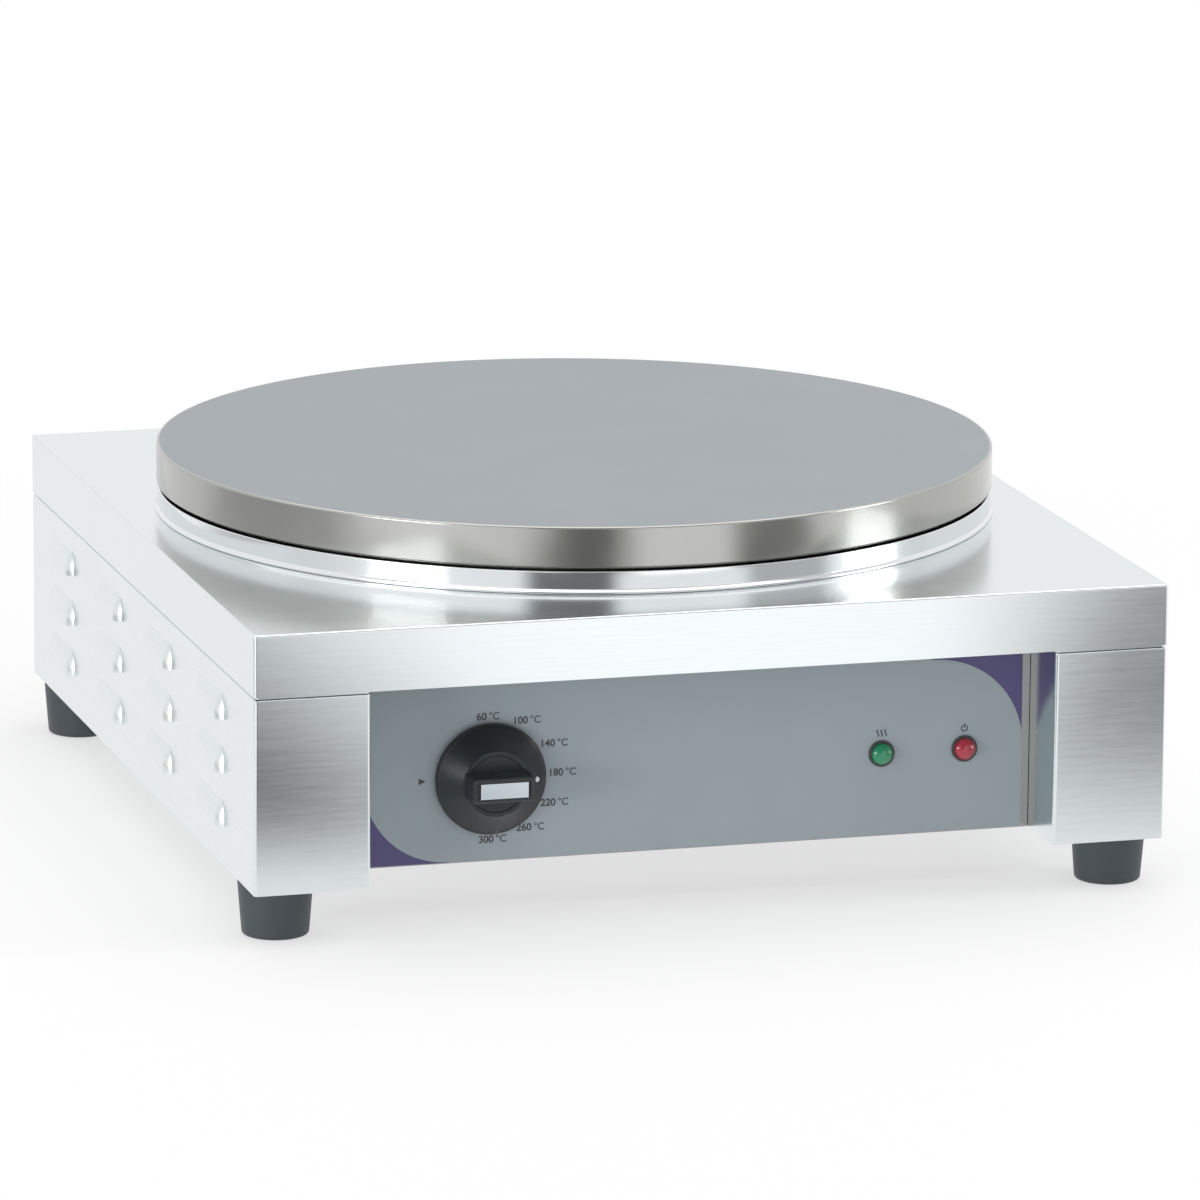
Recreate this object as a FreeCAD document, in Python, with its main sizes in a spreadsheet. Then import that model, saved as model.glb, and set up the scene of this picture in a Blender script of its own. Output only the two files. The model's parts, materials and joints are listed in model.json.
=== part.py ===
# Electric crepe maker, single round plate, for a countertop.
# Millimetres. Origin on the floor under the middle of the body, X right, Y to the back, Z up.
import FreeCAD, Part
import math
import os
import re
import Sketcher
from FreeCAD import Placement, Rotation, Vector

doc = FreeCAD.newDocument("crepe_maker")

# Driving sizes, each set by itself
SIZES = {
    # Top cover: a folded tray with a skirt
    "body_width": 434.0,
    "body_depth": 460.0,
    "skirt_height": 28.7,
    "cover_sheet": 1.0,
    "cover_corner": 2.2,
    "cover_gap": 0.2,
    # Lower housing: two folded side panels, each with a hollow column at both ends
    "reveal_height": 91.9,
    "panel_sheet": 1.0,
    "bend_radius": 1.0,
    "column_width": 53.1,
    "recess_depth": 34.8,
    "back_recess_depth": 26.0,
    "return_reach": 18.0,
    "bottom_flange": 30.0,
    "top_flange": 12.0,
    "side_flange": 15.0,
    "sheet_gap": 0.2,
    "base_sheet": 1.2,
    "base_gap": 0.4,
    "vent_length": 60.0,
    "vent_width": 5.0,
    "vent_pitch": 14.0,
    # Pressed air louvres in both sides
    "louvre_length": 48.0,
    "louvre_height": 12.5,
    "louvre_reach": 4.5,
    "louvre_wall": 1.0,
    "louvre_pitch": 103.0,
    "louvre_rise": 25.0,
    "louvre_shift": 7.0,
    "louvre_base": 24.6,
    # Feet and their screws
    "foot_height": 25.0,
    "foot_top_radius": 17.3,
    "foot_bottom_radius": 15.5,
    "foot_side_inset": 17.0,
    "foot_end_inset": 29.2,
    "foot_edge": 1.8,
    "foot_well_radius": 7.0,
    "foot_well_depth": 12.0,
    "foot_bolt_radius": 3.0,
    "foot_head_radius": 5.2,
    "foot_head_height": 4.0,
    "foot_nut_flats": 10.0,
    "foot_nut_height": 5.0,
    # Griddle plate
    "plate_side_margin": 17.0,
    "plate_end_margin": 30.0,
    "plate_height": 20.0,
    "plate_web": 11.0,
    "plate_rim": 14.0,
    "plate_edge": 1.0,
    "plate_setback": 9.0,
    "plate_lift": 11.4,
    "plate_gap": 0.8,
    "boss_radius": 11.0,
    "boss_height": 5.0,
    "stud_spread": 75.0,
    # Collar ring between plate and cover
    "ring_sheet": 1.0,
    "ring_neck_inset": 0.4,
    "ring_flare": 1.2,
    "ring_flare_height": 4.0,
    "ring_lip_height": 1.6,
    "ring_shelf": 8.0,
    # Insulation pan, mat and element plate under the griddle plate
    "pan_sheet": 0.8,
    "pan_wall_inset": 11.5,
    "pan_flange": 7.5,
    "pan_drop": 18.4,
    "mat_gap": 0.5,
    "clamp_sheet": 1.5,
    "clamp_inset": 28.0,
    # Tubular heating elements
    "element_tube": 8.0,
    "element_bend": 10.0,
    "outer_loop_inset": 50.0,
    "inner_loop": 60.0,
    "leg_half_gap": 11.0,
    "leg_reach": 14.0,
    "leg_clearance": 1.5,
    "pin_radius": 2.0,
    "pin_length": 10.0,
    # Bars and rails that carry the plate
    "bar_width": 30.0,
    "bar_depth": 15.0,
    "bar_sheet": 2.0,
    "rail_sheet": 2.0,
    "rail_shelf": 24.0,
    "rail_depth": 18.0,
    "rail_overhang": 10.0,
    "bar_end_gap": 0.3,
    "bar_bolt_radius": 2.5,
    "bar_head_radius": 4.6,
    "bar_head_height": 2.8,
    # Studs that hold the plate down
    "stud_radius": 4.0,
    "stud_bite": 6.0,
    "stud_tail": 3.0,
    "stud_nut_flats": 13.0,
    "stud_nut_height": 6.5,
    "sleeve_radius": 7.0,
    # Controls
    "knob_inset": 65.2,
    "green_inset": 72.2,
    "red_inset": 31.9,
    "control_rise": 39.6,
    "overlay_sheet": 0.3,
    "overlay_side_margin": 3.7,
    "overlay_bottom_margin": 0.8,
    "overlay_height": 86.0,
    # Knob
    "knob_radius": 26.0,
    "knob_rim": 3.0,
    "knob_cone": 8.0,
    "hub_radius": 15.5,
    "hub_height": 1.0,
    "knob_reach": 25.0,
    "knob_shell": 2.5,
    "knob_clearance": 1.0,
    "grip_length": 30.0,
    "grip_width": 12.5,
    "grip_round": 1.2,
    "insert_length": 22.7,
    "insert_width": 7.3,
    "insert_depth": 0.8,
    "insert_proud": 0.3,
    "pointer_radius": 1.3,
    "pointer_distance": 20.0,
    "pointer_height": 2.4,
    "inlay_fit": 0.05,
    # Thermostat with its bulb
    "spindle_radius": 3.0,
    "spindle_fit": 0.05,
    "spindle_bite": 12.0,
    "spindle_flat": 0.8,
    "spindle_end_gap": 1.0,
    "bushing_radius": 4.5,
    "bushing_reach": 3.0,
    "thermostat_width": 40.0,
    "thermostat_height": 36.0,
    "thermostat_depth": 26.0,
    "thermostat_bore": 16.0,
    "thermostat_spread": 14.0,
    "bulb_radius": 3.0,
    "bulb_length": 70.0,
    "bulb_distance": 105.0,
    "capillary_radius": 1.0,
    "capillary_bend": 6.0,
    "capillary_level": 100.0,
    "clip_length": 14.0,
    "clip_width": 12.0,
    # Lamps
    "lens_radius": 6.2,
    "lens_reach": 4.6,
    "lamp_radius": 5.0,
    "lamp_depth": 20.0,
    "lamp_clip_radius": 8.0,
    "lamp_clip_sheet": 1.5,
    # Mains entry, terminal block and bonding stud at the back
    "gland_inset": 12.7,
    "gland_height": 60.0,
    "gland_thread_radius": 10.0,
    "gland_bore_radius": 5.5,
    "gland_flats": 24.0,
    "gland_hex_height": 6.0,
    "gland_thread_reach": 14.0,
    "gland_tail": 12.0,
    "gland_cap_radius": 12.5,
    "gland_cap_length": 18.0,
    "gland_cap_face": 4.0,
    "gland_lock_height": 5.0,
    "block_width": 44.0,
    "block_depth": 22.0,
    "block_height": 20.0,
    "block_setback": 24.0,
    "bond_inset": 30.0,
    "bond_height": 50.0,
    "bond_radius": 3.0,
    "bond_root_radius": 4.0,
    "bond_collar_flats": 13.0,
    "bond_collar_height": 5.0,
    "bond_reach": 13.0,
    "bond_tail": 14.0,
    # Small screws of the sheet metal
    "small_bolt_radius": 2.0,
    "small_head_radius": 3.5,
    "small_head_height": 2.0,
    "small_nut_flats": 7.0,
    "small_nut_height": 3.2,
    "small_spread": 60.0,
    "screw_tail": 3.0,
    "hole_clearance": 0.3,
    "thread_fit": 0.05,
    # Internal leads
    "lead_radius": 1.6,
    "lead_bend": 7.0,
    "lead_level": 37.0,
    "lead_step": 11.0,
}

# Counts of repeated features
LOUVRE_COLUMNS = 4
LOUVRE_ROWS = 3
VENT_COUNT = 7

# Places worked out from the sizes
PLACES = {
    "cover_top": "foot_height + reveal_height + skirt_height",
    "wall_top": "cover_top - cover_sheet",
    "wall_half_width": "body_width / 2 - cover_sheet - cover_gap",
    "wall_half_depth": "body_depth / 2 - cover_sheet - cover_gap",
    "inner_half_width": "wall_half_width - panel_sheet",
    "inner_half_depth": "wall_half_depth - panel_sheet",
    "recess_half": "wall_half_width - column_width",
    "return_half": "recess_half + panel_sheet",
    "panel_face": "wall_half_depth - recess_depth",
    "return_end": "panel_face - return_reach",
    "back_face": "wall_half_depth - back_recess_depth",
    "back_inside": "back_face - panel_sheet",
    "back_return_end": "back_face - return_reach",
    "wall_bend": "cover_corner - cover_sheet",
    "cover_edge": "cover_sheet + cover_gap",
    "flange_top": "foot_height + panel_sheet",
    "base_top": "flange_top + base_sheet",
    "panel_half": "recess_half - sheet_gap",
    "plate_radius": "min(body_width / 2 - plate_side_margin; body_depth / 2 - plate_end_margin)",
    "outer_loop": "plate_radius - outer_loop_inset",
    "plate_bottom": "cover_top + plate_lift",
    "plate_top": "plate_bottom + plate_height",
    "web_under": "plate_top - plate_web",
    "boss_under": "web_under - boss_height",
    "element_axis": "web_under - element_tube / 2",
    "clamp_top": "web_under - element_tube",
    "clamp_under": "clamp_top - clamp_sheet",
    "ring_top": "plate_bottom - plate_gap",
    "ring_neck": "plate_radius - ring_neck_inset",
    "pan_wall": "plate_radius - pan_wall_inset",
    "bar_top": "cover_top - pan_drop",
    "pan_floor": "bar_top + pan_sheet",
    "rail_top": "bar_top - bar_sheet",
    "nut_under": "clamp_under - stud_nut_height",
    "leg_bottom": "bar_top - leg_reach",
    "pin_bottom": "leg_bottom - pin_length",
    "outer_end": "hypot(outer_loop; element_bend)",
    "outer_gap_angle": "asin(leg_half_gap / outer_end) + atan(element_bend / outer_loop)",
    "outer_leg_along": "outer_loop * cos(outer_gap_angle) + element_bend * sin(outer_gap_angle)",
    "inner_end": "hypot(inner_loop; element_bend)",
    "inner_gap_angle": "asin(leg_half_gap / inner_end) + atan(element_bend / inner_loop)",
    "inner_leg_along": "inner_loop * cos(inner_gap_angle) + element_bend * sin(inner_gap_angle)",
    "foot_across": "body_width / 2 - foot_side_inset",
    "foot_along": "body_depth / 2 - foot_end_inset",
    "knob_across": "knob_inset - recess_half",
    "green_across": "recess_half - green_inset",
    "red_across": "recess_half - red_inset",
    "control_height": "foot_height + control_rise",
    "overlay_face": "panel_face + overlay_sheet",
    "panel_back": "panel_face - panel_sheet",
    "knob_base": "overlay_face + knob_clearance",
    "knob_shoulder": "knob_rim + knob_cone",
    "gland_across": "recess_half - gland_inset - gland_flats / sqrt(3)",
    "bond_across": "bond_inset - recess_half",
    "block_along": "back_inside - block_setback - block_depth / 2",
    "screw_setback": "side_flange / 2 + bend_radius",
    "screw_line": "panel_face - screw_setback",
    "back_screw_line": "back_face - screw_setback",
    "low_screw": "base_top + top_flange * 2",
    "high_screw": "wall_top - top_flange * 2",
    "base_setback": "return_reach + bottom_flange / 4",
    "bar_screw_line": "inner_half_width - rail_shelf / 2",
    "spindle_room": "bushing_reach + knob_clearance + overlay_sheet + panel_sheet",
    "spindle_length": "spindle_bite + spindle_room + thermostat_bore - spindle_end_gap",
}

NAME_PATTERN = re.compile(r"[a-z]+(?:_[a-z]+)+")


def make_sheet(name, entries):
    """Fill a spreadsheet with one named cell per row."""
    made = doc.addObject("Spreadsheet::Sheet", name)
    for row, (alias, content) in enumerate(entries.items(), start=1):
        made.set("A%d" % row, alias)
        made.set("B%d" % row, str(content))
        made.setAlias("B%d" % row, alias)
    return made


def formula(text):
    """Point each bare size or place name at the sheet that holds it."""
    def owner(match):
        word = match.group(0)
        return ("Sizes." if word in SIZES else "Places.") + word
    return NAME_PATTERN.sub(owner, text)


sizes = make_sheet("Sizes", SIZES)
doc.recompute()
places = make_sheet("Places", {name: "=" + formula(text).replace("Places.", "")
                               for name, text in PLACES.items()})
doc.recompute()


def read(name):
    """The present value of a size or place."""
    return float(sizes.get(name) if name in SIZES else places.get(name))


# Drawing and feature helpers

def start_body(label):
    """A body whose name is the node's name and which may hold separate solids."""
    body = doc.addObject("PartDesign::Body", label)
    body.Label = label
    body.AllowCompound = True
    return body


def put(target, across="0", along="0", up="0", turn=None):
    """Place a sub-part, with each coordinate bound to its formula."""
    if turn is not None:
        target.Placement = Placement(Vector(), turn)
    for axis, text in zip("xyz", (across, along, up)):
        target.setExpression("Placement.Base." + axis, formula(text))


def sketch_on(body, plane, level):
    """A sketch on one of the body's own origin planes, lifted to a level along its normal."""
    sketch = body.newObject("Sketcher::SketchObject", body.Label + "_outline")
    support = [item for item in body.Origin.OriginFeatures if item.Role == plane][0]
    sketch.AttachmentSupport = (support, [""])
    sketch.MapMode = "FlatFace"
    sketch.setExpression("AttachmentOffset.Base.z", formula(level))
    return sketch


def pin_point(sketch, edge, point, spot, guess):
    """Hold one point of an edge at a pair of formulas."""
    for kind, axis, text, value in (("DistanceX", -2, spot[0], guess.x), ("DistanceY", -1, spot[1], guess.y)):
        if text == "0":
            sketch.addConstraint(Sketcher.Constraint("PointOnObject", edge, point, axis))
            continue
        index = sketch.addConstraint(Sketcher.Constraint(kind, -1, 1, edge, point, value))
        sketch.setExpression("Constraints[%d]" % index, formula(text))


def draw_loop(sketch, corners):
    """A closed loop of straight edges through the given corners."""
    first = sketch.GeometryCount
    total = len(corners)
    angles = [0.3 + 2 * math.pi * index / total for index in range(total)]
    guesses = [Vector(math.cos(angle), math.sin(angle), 0) for angle in angles]
    for index in range(total):
        sketch.addGeometry(Part.LineSegment(guesses[index], guesses[(index + 1) % total]), False)
    for index, spot in enumerate(corners):
        follower = first + (index + 1) % total
        sketch.addConstraint(Sketcher.Constraint("Coincident", first + index, 2, follower, 1))
        pin_point(sketch, first + index, 1, spot, guesses[index])


def draw_rectangle(sketch, left, right, bottom, top):
    draw_loop(sketch, [(left, bottom), (right, bottom), (right, top), (left, top)])


def draw_circle(sketch, spot, radius):
    index = sketch.addGeometry(Part.Circle(Vector(0.5, 0.5, 0), Vector(0, 0, 1), 1.0), False)
    pin_point(sketch, index, 3, spot, Vector(0.5, 0.5, 0))
    bound = sketch.addConstraint(Sketcher.Constraint("Radius", index, 1.0))
    sketch.setExpression("Constraints[%d]" % bound, formula(radius))


def draw_hexagon(sketch, spot, flats):
    """A hexagon with two of its corners across the sketch's first axis."""
    across, along = spot
    point = "(%s) / sqrt(3)" % flats
    shoulder = "(%s) / 2 / sqrt(3)" % flats
    half = "(%s) / 2" % flats
    corners = [(point, "0"), (shoulder, half), ("-" + shoulder, half),
               ("-" + point, "0"), ("-" + shoulder, "-" + half), (shoulder, "-" + half)]
    draw_loop(sketch, [("%s + (%s)" % (across, a), "%s + (%s)" % (along, b)) for a, b in corners])


def pad(body, sketch, length):
    feature = body.newObject("PartDesign::Pad", body.Label + "_pad")
    feature.Profile = sketch
    feature.setExpression("Length", formula(length))


def pocket(body, sketch, length):
    """Cut along the sketch's own normal, and make sure that something was cut."""
    doc.recompute()
    before = body.Shape.Volume
    feature = body.newObject("PartDesign::Pocket", body.Label + "_pocket")
    feature.Profile = sketch
    feature.Reversed = True
    feature.setExpression("Length", formula(length))
    doc.recompute()
    if body.Shape.Volume >= before:
        raise ValueError("pocket cuts nothing in " + body.Label)


def soften(body, pick, radius):
    """Round the edges of the body that the pick function accepts."""
    doc.recompute()
    tip = body.Tip
    chosen = ["Edge%d" % (index + 1) for index, edge in enumerate(tip.Shape.Edges) if pick(edge)]
    feature = body.newObject("PartDesign::Fillet", body.Label + "_round")
    feature.Base = (tip, chosen)
    feature.setExpression("Radius", formula(radius))


def is_upright(edge):
    return abs(edge.tangentAt(edge.FirstParameter).z) > 0.99 and edge.Curve.TypeId == "Part::GeomLine"


def revolve(body, profile):
    """Turn a half section of (radius, height) corners about the body's own Z axis."""
    sketch = sketch_on(body, "XZ_Plane", "0")
    draw_loop(sketch, profile)
    feature = body.newObject("PartDesign::Revolution", body.Label + "_turn")
    feature.Profile = sketch
    feature.ReferenceAxis = (sketch, ["V_Axis"])
    feature.Angle = 360


def pad_discs(body, plane, spots, level, length, radius, bore=None):
    """The same disc, or ring where it has a bore, at every spot."""
    sketch = sketch_on(body, plane, level)
    for spot in spots:
        draw_circle(sketch, spot, radius)
        if bore is not None:
            draw_circle(sketch, spot, bore)
    pad(body, sketch, length)


def pad_nuts(label, plane, spots, level, length, flats, bolt):
    """A group of hexagon nuts on bolts of the given radius."""
    body = start_body(label)
    sketch = sketch_on(body, plane, level)
    for spot in spots:
        draw_hexagon(sketch, spot, flats)
        draw_circle(sketch, spot, bolt + " + thread_fit")
    pad(body, sketch, length)


def pad_screws(label, plane, spots, head_level, head_height, head_radius, shank_level, shank_length, radius):
    """A group of pan head screws."""
    body = start_body(label)
    pad_discs(body, plane, spots, shank_level, shank_length, radius)
    pad_discs(body, plane, spots, head_level, head_height, head_radius)
    return body


def drill(body, plane, spots, level, length, radius):
    """Round holes at every spot."""
    sketch = sketch_on(body, plane, level)
    for spot in spots:
        draw_circle(sketch, spot, radius)
    pocket(body, sketch, length)


def four_spots(across, along, middle="0"):
    """The four corners of a rectangle about a point on the Y axis."""
    return [(sign + "(" + across + ")", "%s %s (%s)" % (middle, other, along))
            for sign in ("", "-") for other in ("+", "-")]


# Round bars along a route

def straight_and_arcs(points, bend):
    """Straight runs through the points, joined by tangent arcs of the bend radius."""
    edges = []
    here = points[0]
    for before, corner, after in zip(points, points[1:], points[2:]):
        incoming = (corner - before).normalize()
        outgoing = (after - corner).normalize()
        turn = incoming.getAngle(outgoing)
        cut = bend * math.tan(turn / 2)
        enter = corner - incoming * cut
        leave = corner + outgoing * cut
        inward = (outgoing - incoming).normalize()
        middle = corner + inward * (bend / math.cos(turn / 2) - bend)
        edges.append(Part.LineSegment(here, enter).toShape())
        edges.append(Part.Arc(enter, middle, leave).toShape())
        here = leave
    edges.append(Part.LineSegment(here, points[-1]).toShape())
    return edges


def sweep_round(label, edges, radius):
    """A round bar along joined edges, with its volume compared with section times length."""
    path = Part.Wire(edges)
    start = edges[0].FirstParameter
    section = Part.Wire(Part.makeCircle(radius, edges[0].valueAt(start), edges[0].tangentAt(start)))
    shape = path.makePipeShell([section], True, False)
    expected = math.pi * radius ** 2 * path.Length
    if abs(shape.Volume / expected - 1) > 0.01:
        raise ValueError("%s has volume %.1f, not %.1f" % (label, shape.Volume, expected))
    feature = doc.addObject("Part::Feature", label)
    feature.Label = label
    feature.Shape = shape
    feature.Placement = Placement()


# Top cover

def make_top_cover():
    body = start_body("top_cover")
    sketch = sketch_on(body, "XY_Plane", "0")
    draw_rectangle(sketch, "-body_width / 2", "body_width / 2", "-body_depth / 2", "body_depth / 2")
    pad(body, sketch, "skirt_height")
    soften(body, is_upright, "cover_corner")
    top = read("skirt_height") - 0.01
    soften(body, lambda edge: edge.BoundBox.ZMin > top, "cover_edge")
    doc.recompute()
    solid = body.Tip
    open_face = ["Face%d" % (index + 1) for index, face in enumerate(solid.Shape.Faces)
                 if face.BoundBox.ZMax < 0.01]
    shell = body.newObject("PartDesign::Thickness", "top_cover_shell")
    shell.Base = (solid, open_face)
    shell.Reversed = True
    shell.setExpression("Value", formula("cover_sheet"))
    drill(body, "XY_Plane", [("0", "plate_setback")], "0", "skirt_height", "pan_wall + hole_clearance")
    put(body, up="foot_height + reveal_height")


# Lower housing

def screw_spots():
    """Where the end panels are screwed to the returns, seen along X."""
    return [(line, level) for line in ("-screw_line", "back_screw_line")
            for level in ("low_screw", "high_screw")]


def base_spots():
    """Where the base plate is screwed to the end panels, seen from above."""
    return [(sign + "small_spread", line) for sign in ("", "-")
            for line in ("-(panel_face - base_setback)", "back_face - base_setback")]


def make_side_panels():
    body = start_body("left_side_panel")
    wall = sketch_on(body, "XY_Plane", "foot_height")
    draw_loop(wall, [
        ("-recess_half", "-return_end"), ("-recess_half", "-wall_half_depth"),
        ("-wall_half_width", "-wall_half_depth"), ("-wall_half_width", "wall_half_depth"),
        ("-recess_half", "wall_half_depth"), ("-recess_half", "back_return_end"),
        ("-return_half", "back_return_end"), ("-return_half", "inner_half_depth"),
        ("-inner_half_width", "inner_half_depth"), ("-inner_half_width", "-inner_half_depth"),
        ("-return_half", "-inner_half_depth"), ("-return_half", "-return_end")])
    pad(body, wall, "wall_top - foot_height")
    outer = (read("wall_half_width"), read("recess_half"))
    inner = (read("inner_half_width"), read("return_half"))

    def at_corner(edge, across, along):
        point = edge.Vertexes[0].Point
        return (is_upright(edge) and abs(abs(point.y) - along) < 0.01
                and min(abs(abs(point.x) - value) for value in across) < 0.01)
    soften(body, lambda edge: at_corner(edge, outer, read("wall_half_depth")), "wall_bend")
    soften(body, lambda edge: at_corner(edge, inner, read("inner_half_depth")), "wall_bend - panel_sheet")
    bottom = sketch_on(body, "XY_Plane", "foot_height")
    edge_line = "-(inner_half_width - bottom_flange)"
    draw_loop(bottom, [
        ("-inner_half_width", "-inner_half_depth"), ("-return_half", "-inner_half_depth"),
        ("-return_half", "-panel_face"), (edge_line, "-panel_face"),
        (edge_line, "back_face"), ("-return_half", "back_face"),
        ("-return_half", "inner_half_depth"), ("-inner_half_width", "inner_half_depth")])
    pad(body, bottom, "panel_sheet")
    top = sketch_on(body, "XY_Plane", "wall_top - panel_sheet")
    draw_rectangle(top, "-inner_half_width", "-(inner_half_width - top_flange)",
                   "-inner_half_depth", "inner_half_depth")
    pad(body, top, "panel_sheet")
    add_louvres(body)
    foot_spots = [("-foot_across", "foot_along"), ("-foot_across", "-foot_along")]
    drill(body, "XY_Plane", foot_spots, "foot_height", "panel_sheet", "foot_bolt_radius + hole_clearance")
    drill(body, "YZ_Plane", screw_spots(), "-return_half", "panel_sheet",
          "small_bolt_radius + hole_clearance")
    put(body)
    mirror = doc.addObject("Part::Mirroring", "right_side_panel")
    mirror.Label = "right_side_panel"
    mirror.Source = body
    mirror.Normal = Vector(1, 0, 0)


def louvre_outline(sketch, middle, level, margin):
    """A hood with cut upper corners and a flat lower edge, drawn smaller by the margin."""
    half = "louvre_length / 2 - " + margin
    rise = "louvre_height / 2"
    low = "%s - %s" % (level, rise)
    high = "%s + %s - %s" % (level, rise, margin)
    shoulder = "%s + %s / 3" % (level, rise)
    draw_loop(sketch, [
        ("%s - (%s)" % (middle, half), low), ("%s + (%s)" % (middle, half), low),
        ("%s + (%s)" % (middle, half), shoulder), ("%s + (%s) - %s" % (middle, half, rise), high),
        ("%s - (%s) + %s" % (middle, half, rise), high), ("%s - (%s)" % (middle, half), shoulder)])


def add_louvres(body):
    """Rows of hoods pressed outwards, each open along its lower edge."""
    spots = []
    for column in range(LOUVRE_COLUMNS):
        for row in range(LOUVRE_ROWS):
            steps = column - (LOUVRE_COLUMNS - 1) / 2
            spots.append(("louvre_shift + louvre_pitch * (%g)" % steps,
                          "foot_height + louvre_base + louvre_rise * %d" % row))
    hoods = sketch_on(body, "YZ_Plane", "-(wall_half_width + louvre_reach)")
    for middle, level in spots:
        louvre_outline(hoods, middle, level, "0")
    pad(body, hoods, "louvre_reach")
    hollows = sketch_on(body, "YZ_Plane", "-(wall_half_width + louvre_reach - louvre_wall)")
    for middle, level in spots:
        louvre_outline(hollows, middle, level, "louvre_wall")
    pocket(body, hollows, "louvre_reach - louvre_wall + panel_sheet")


def make_panel(label, along, turn, holes):
    """A recessed end panel in its own frame, face at Y 0: its top is folded out, the rest back."""
    body = start_body(label)
    face = sketch_on(body, "XZ_Plane", "-panel_sheet")
    draw_rectangle(face, "-panel_half", "panel_half", "foot_height", "wall_top")
    pad(body, face, "panel_sheet")
    bottom = sketch_on(body, "XY_Plane", "foot_height")
    reach = "return_reach + bottom_flange / 2"
    draw_rectangle(bottom, "-panel_half", "panel_half", "0", reach)
    pad(body, bottom, "panel_sheet")
    top = sketch_on(body, "XY_Plane", "wall_top - panel_sheet")
    draw_rectangle(top, "-panel_half", "panel_half", "-top_flange", "panel_sheet")
    pad(body, top, "panel_sheet")
    for sign in ("", "-"):
        side = sketch_on(body, "XY_Plane", "base_top + top_flange / 2")
        draw_rectangle(side, sign + "(panel_half - panel_sheet)", sign + "panel_half", "0", "side_flange")
        pad(body, side, "wall_top - base_top - top_flange")

    def is_bend(edge):
        box = edge.BoundBox
        return abs(box.YMax) < 0.01 and abs(box.YMin) < 0.01 and box.XMax - box.XMin > read("panel_half")
    soften(body, is_bend, "bend_radius")
    for spot, radius in holes:
        drill(body, "XZ_Plane", [spot], "-panel_sheet", "panel_sheet", radius)
    spots = [("screw_setback", level) for level in ("low_screw", "high_screw")]
    for level in ("-panel_half", "panel_half - panel_sheet"):
        drill(body, "YZ_Plane", spots, level, "panel_sheet", "small_bolt_radius + hole_clearance")
    spots = [(sign + "small_spread", "base_setback") for sign in ("", "-")]
    drill(body, "XY_Plane", spots, "foot_height", "panel_sheet", "small_bolt_radius + hole_clearance")
    put(body, along=along, turn=turn)


def make_end_panels():
    clearance = " + hole_clearance"
    screws = [("knob_across %s thermostat_spread" % sign, "control_height") for sign in ("+", "-")]
    front = [(("knob_across", "control_height"), "bushing_radius" + clearance),
             (("green_across", "control_height"), "lamp_radius" + clearance),
             (("red_across", "control_height"), "lamp_radius" + clearance)]
    front += [(spot, "small_bolt_radius" + clearance) for spot in screws]
    make_panel("control_panel", "-panel_face", None, front)
    back = [(("-gland_across", "gland_height"), "gland_thread_radius" + clearance),
            (("-bond_across", "bond_height"), "bond_root_radius" + clearance)]
    make_panel("back_panel", "back_face", Rotation(Vector(0, 0, 1), 180), back)
    overlay = start_body("panel_overlay")
    sheet = sketch_on(overlay, "XZ_Plane", "panel_face")
    half = "(panel_half - overlay_side_margin)"
    low = "foot_height + overlay_bottom_margin"
    draw_rectangle(sheet, "-" + half, half, low, low + " + overlay_height")
    pad(overlay, sheet, "overlay_sheet")
    for spot, radius in front:
        drill(overlay, "XZ_Plane", [spot], "panel_face", "overlay_sheet", radius)
    put(overlay)


def make_base_plate():
    body = start_body("base_plate")
    outline = sketch_on(body, "XY_Plane", "flange_top")
    side = "(inner_half_width - base_gap)"
    end = "(inner_half_depth - base_gap)"
    notch = "(return_half + base_gap)"
    front = [(side, "-" + end), (notch, "-" + end), (notch, "-(return_end - base_gap)")]
    back = [(side, end), (notch, end), (notch, "back_return_end - base_gap")]
    corners = [("-" + across, along) for across, along in front]
    corners += reversed(front)
    corners += back
    corners += [("-" + across, along) for across, along in reversed(back)]
    draw_loop(outline, corners)
    pad(body, outline, "base_sheet")
    corner = read("inner_half_depth") - read("base_gap") - 0.01
    soften(body, lambda edge: is_upright(edge) and abs(edge.Vertexes[0].Y) > corner, "wall_bend")
    drill(body, "XY_Plane", four_spots("foot_across", "foot_along"), "flange_top", "base_sheet",
          "foot_bolt_radius + hole_clearance")
    drill(body, "XY_Plane", base_spots(), "flange_top", "base_sheet", "small_bolt_radius + thread_fit")
    slots = sketch_on(body, "XY_Plane", "flange_top")
    for index in range(VENT_COUNT):
        middle = "vent_pitch * (%g)" % (index - (VENT_COUNT - 1) / 2)
        draw_rectangle(slots, "-vent_length / 2", "vent_length / 2",
                       middle + " - vent_width / 2", middle + " + vent_width / 2")
    pocket(body, slots, "base_sheet")
    put(body)


# Feet

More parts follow.
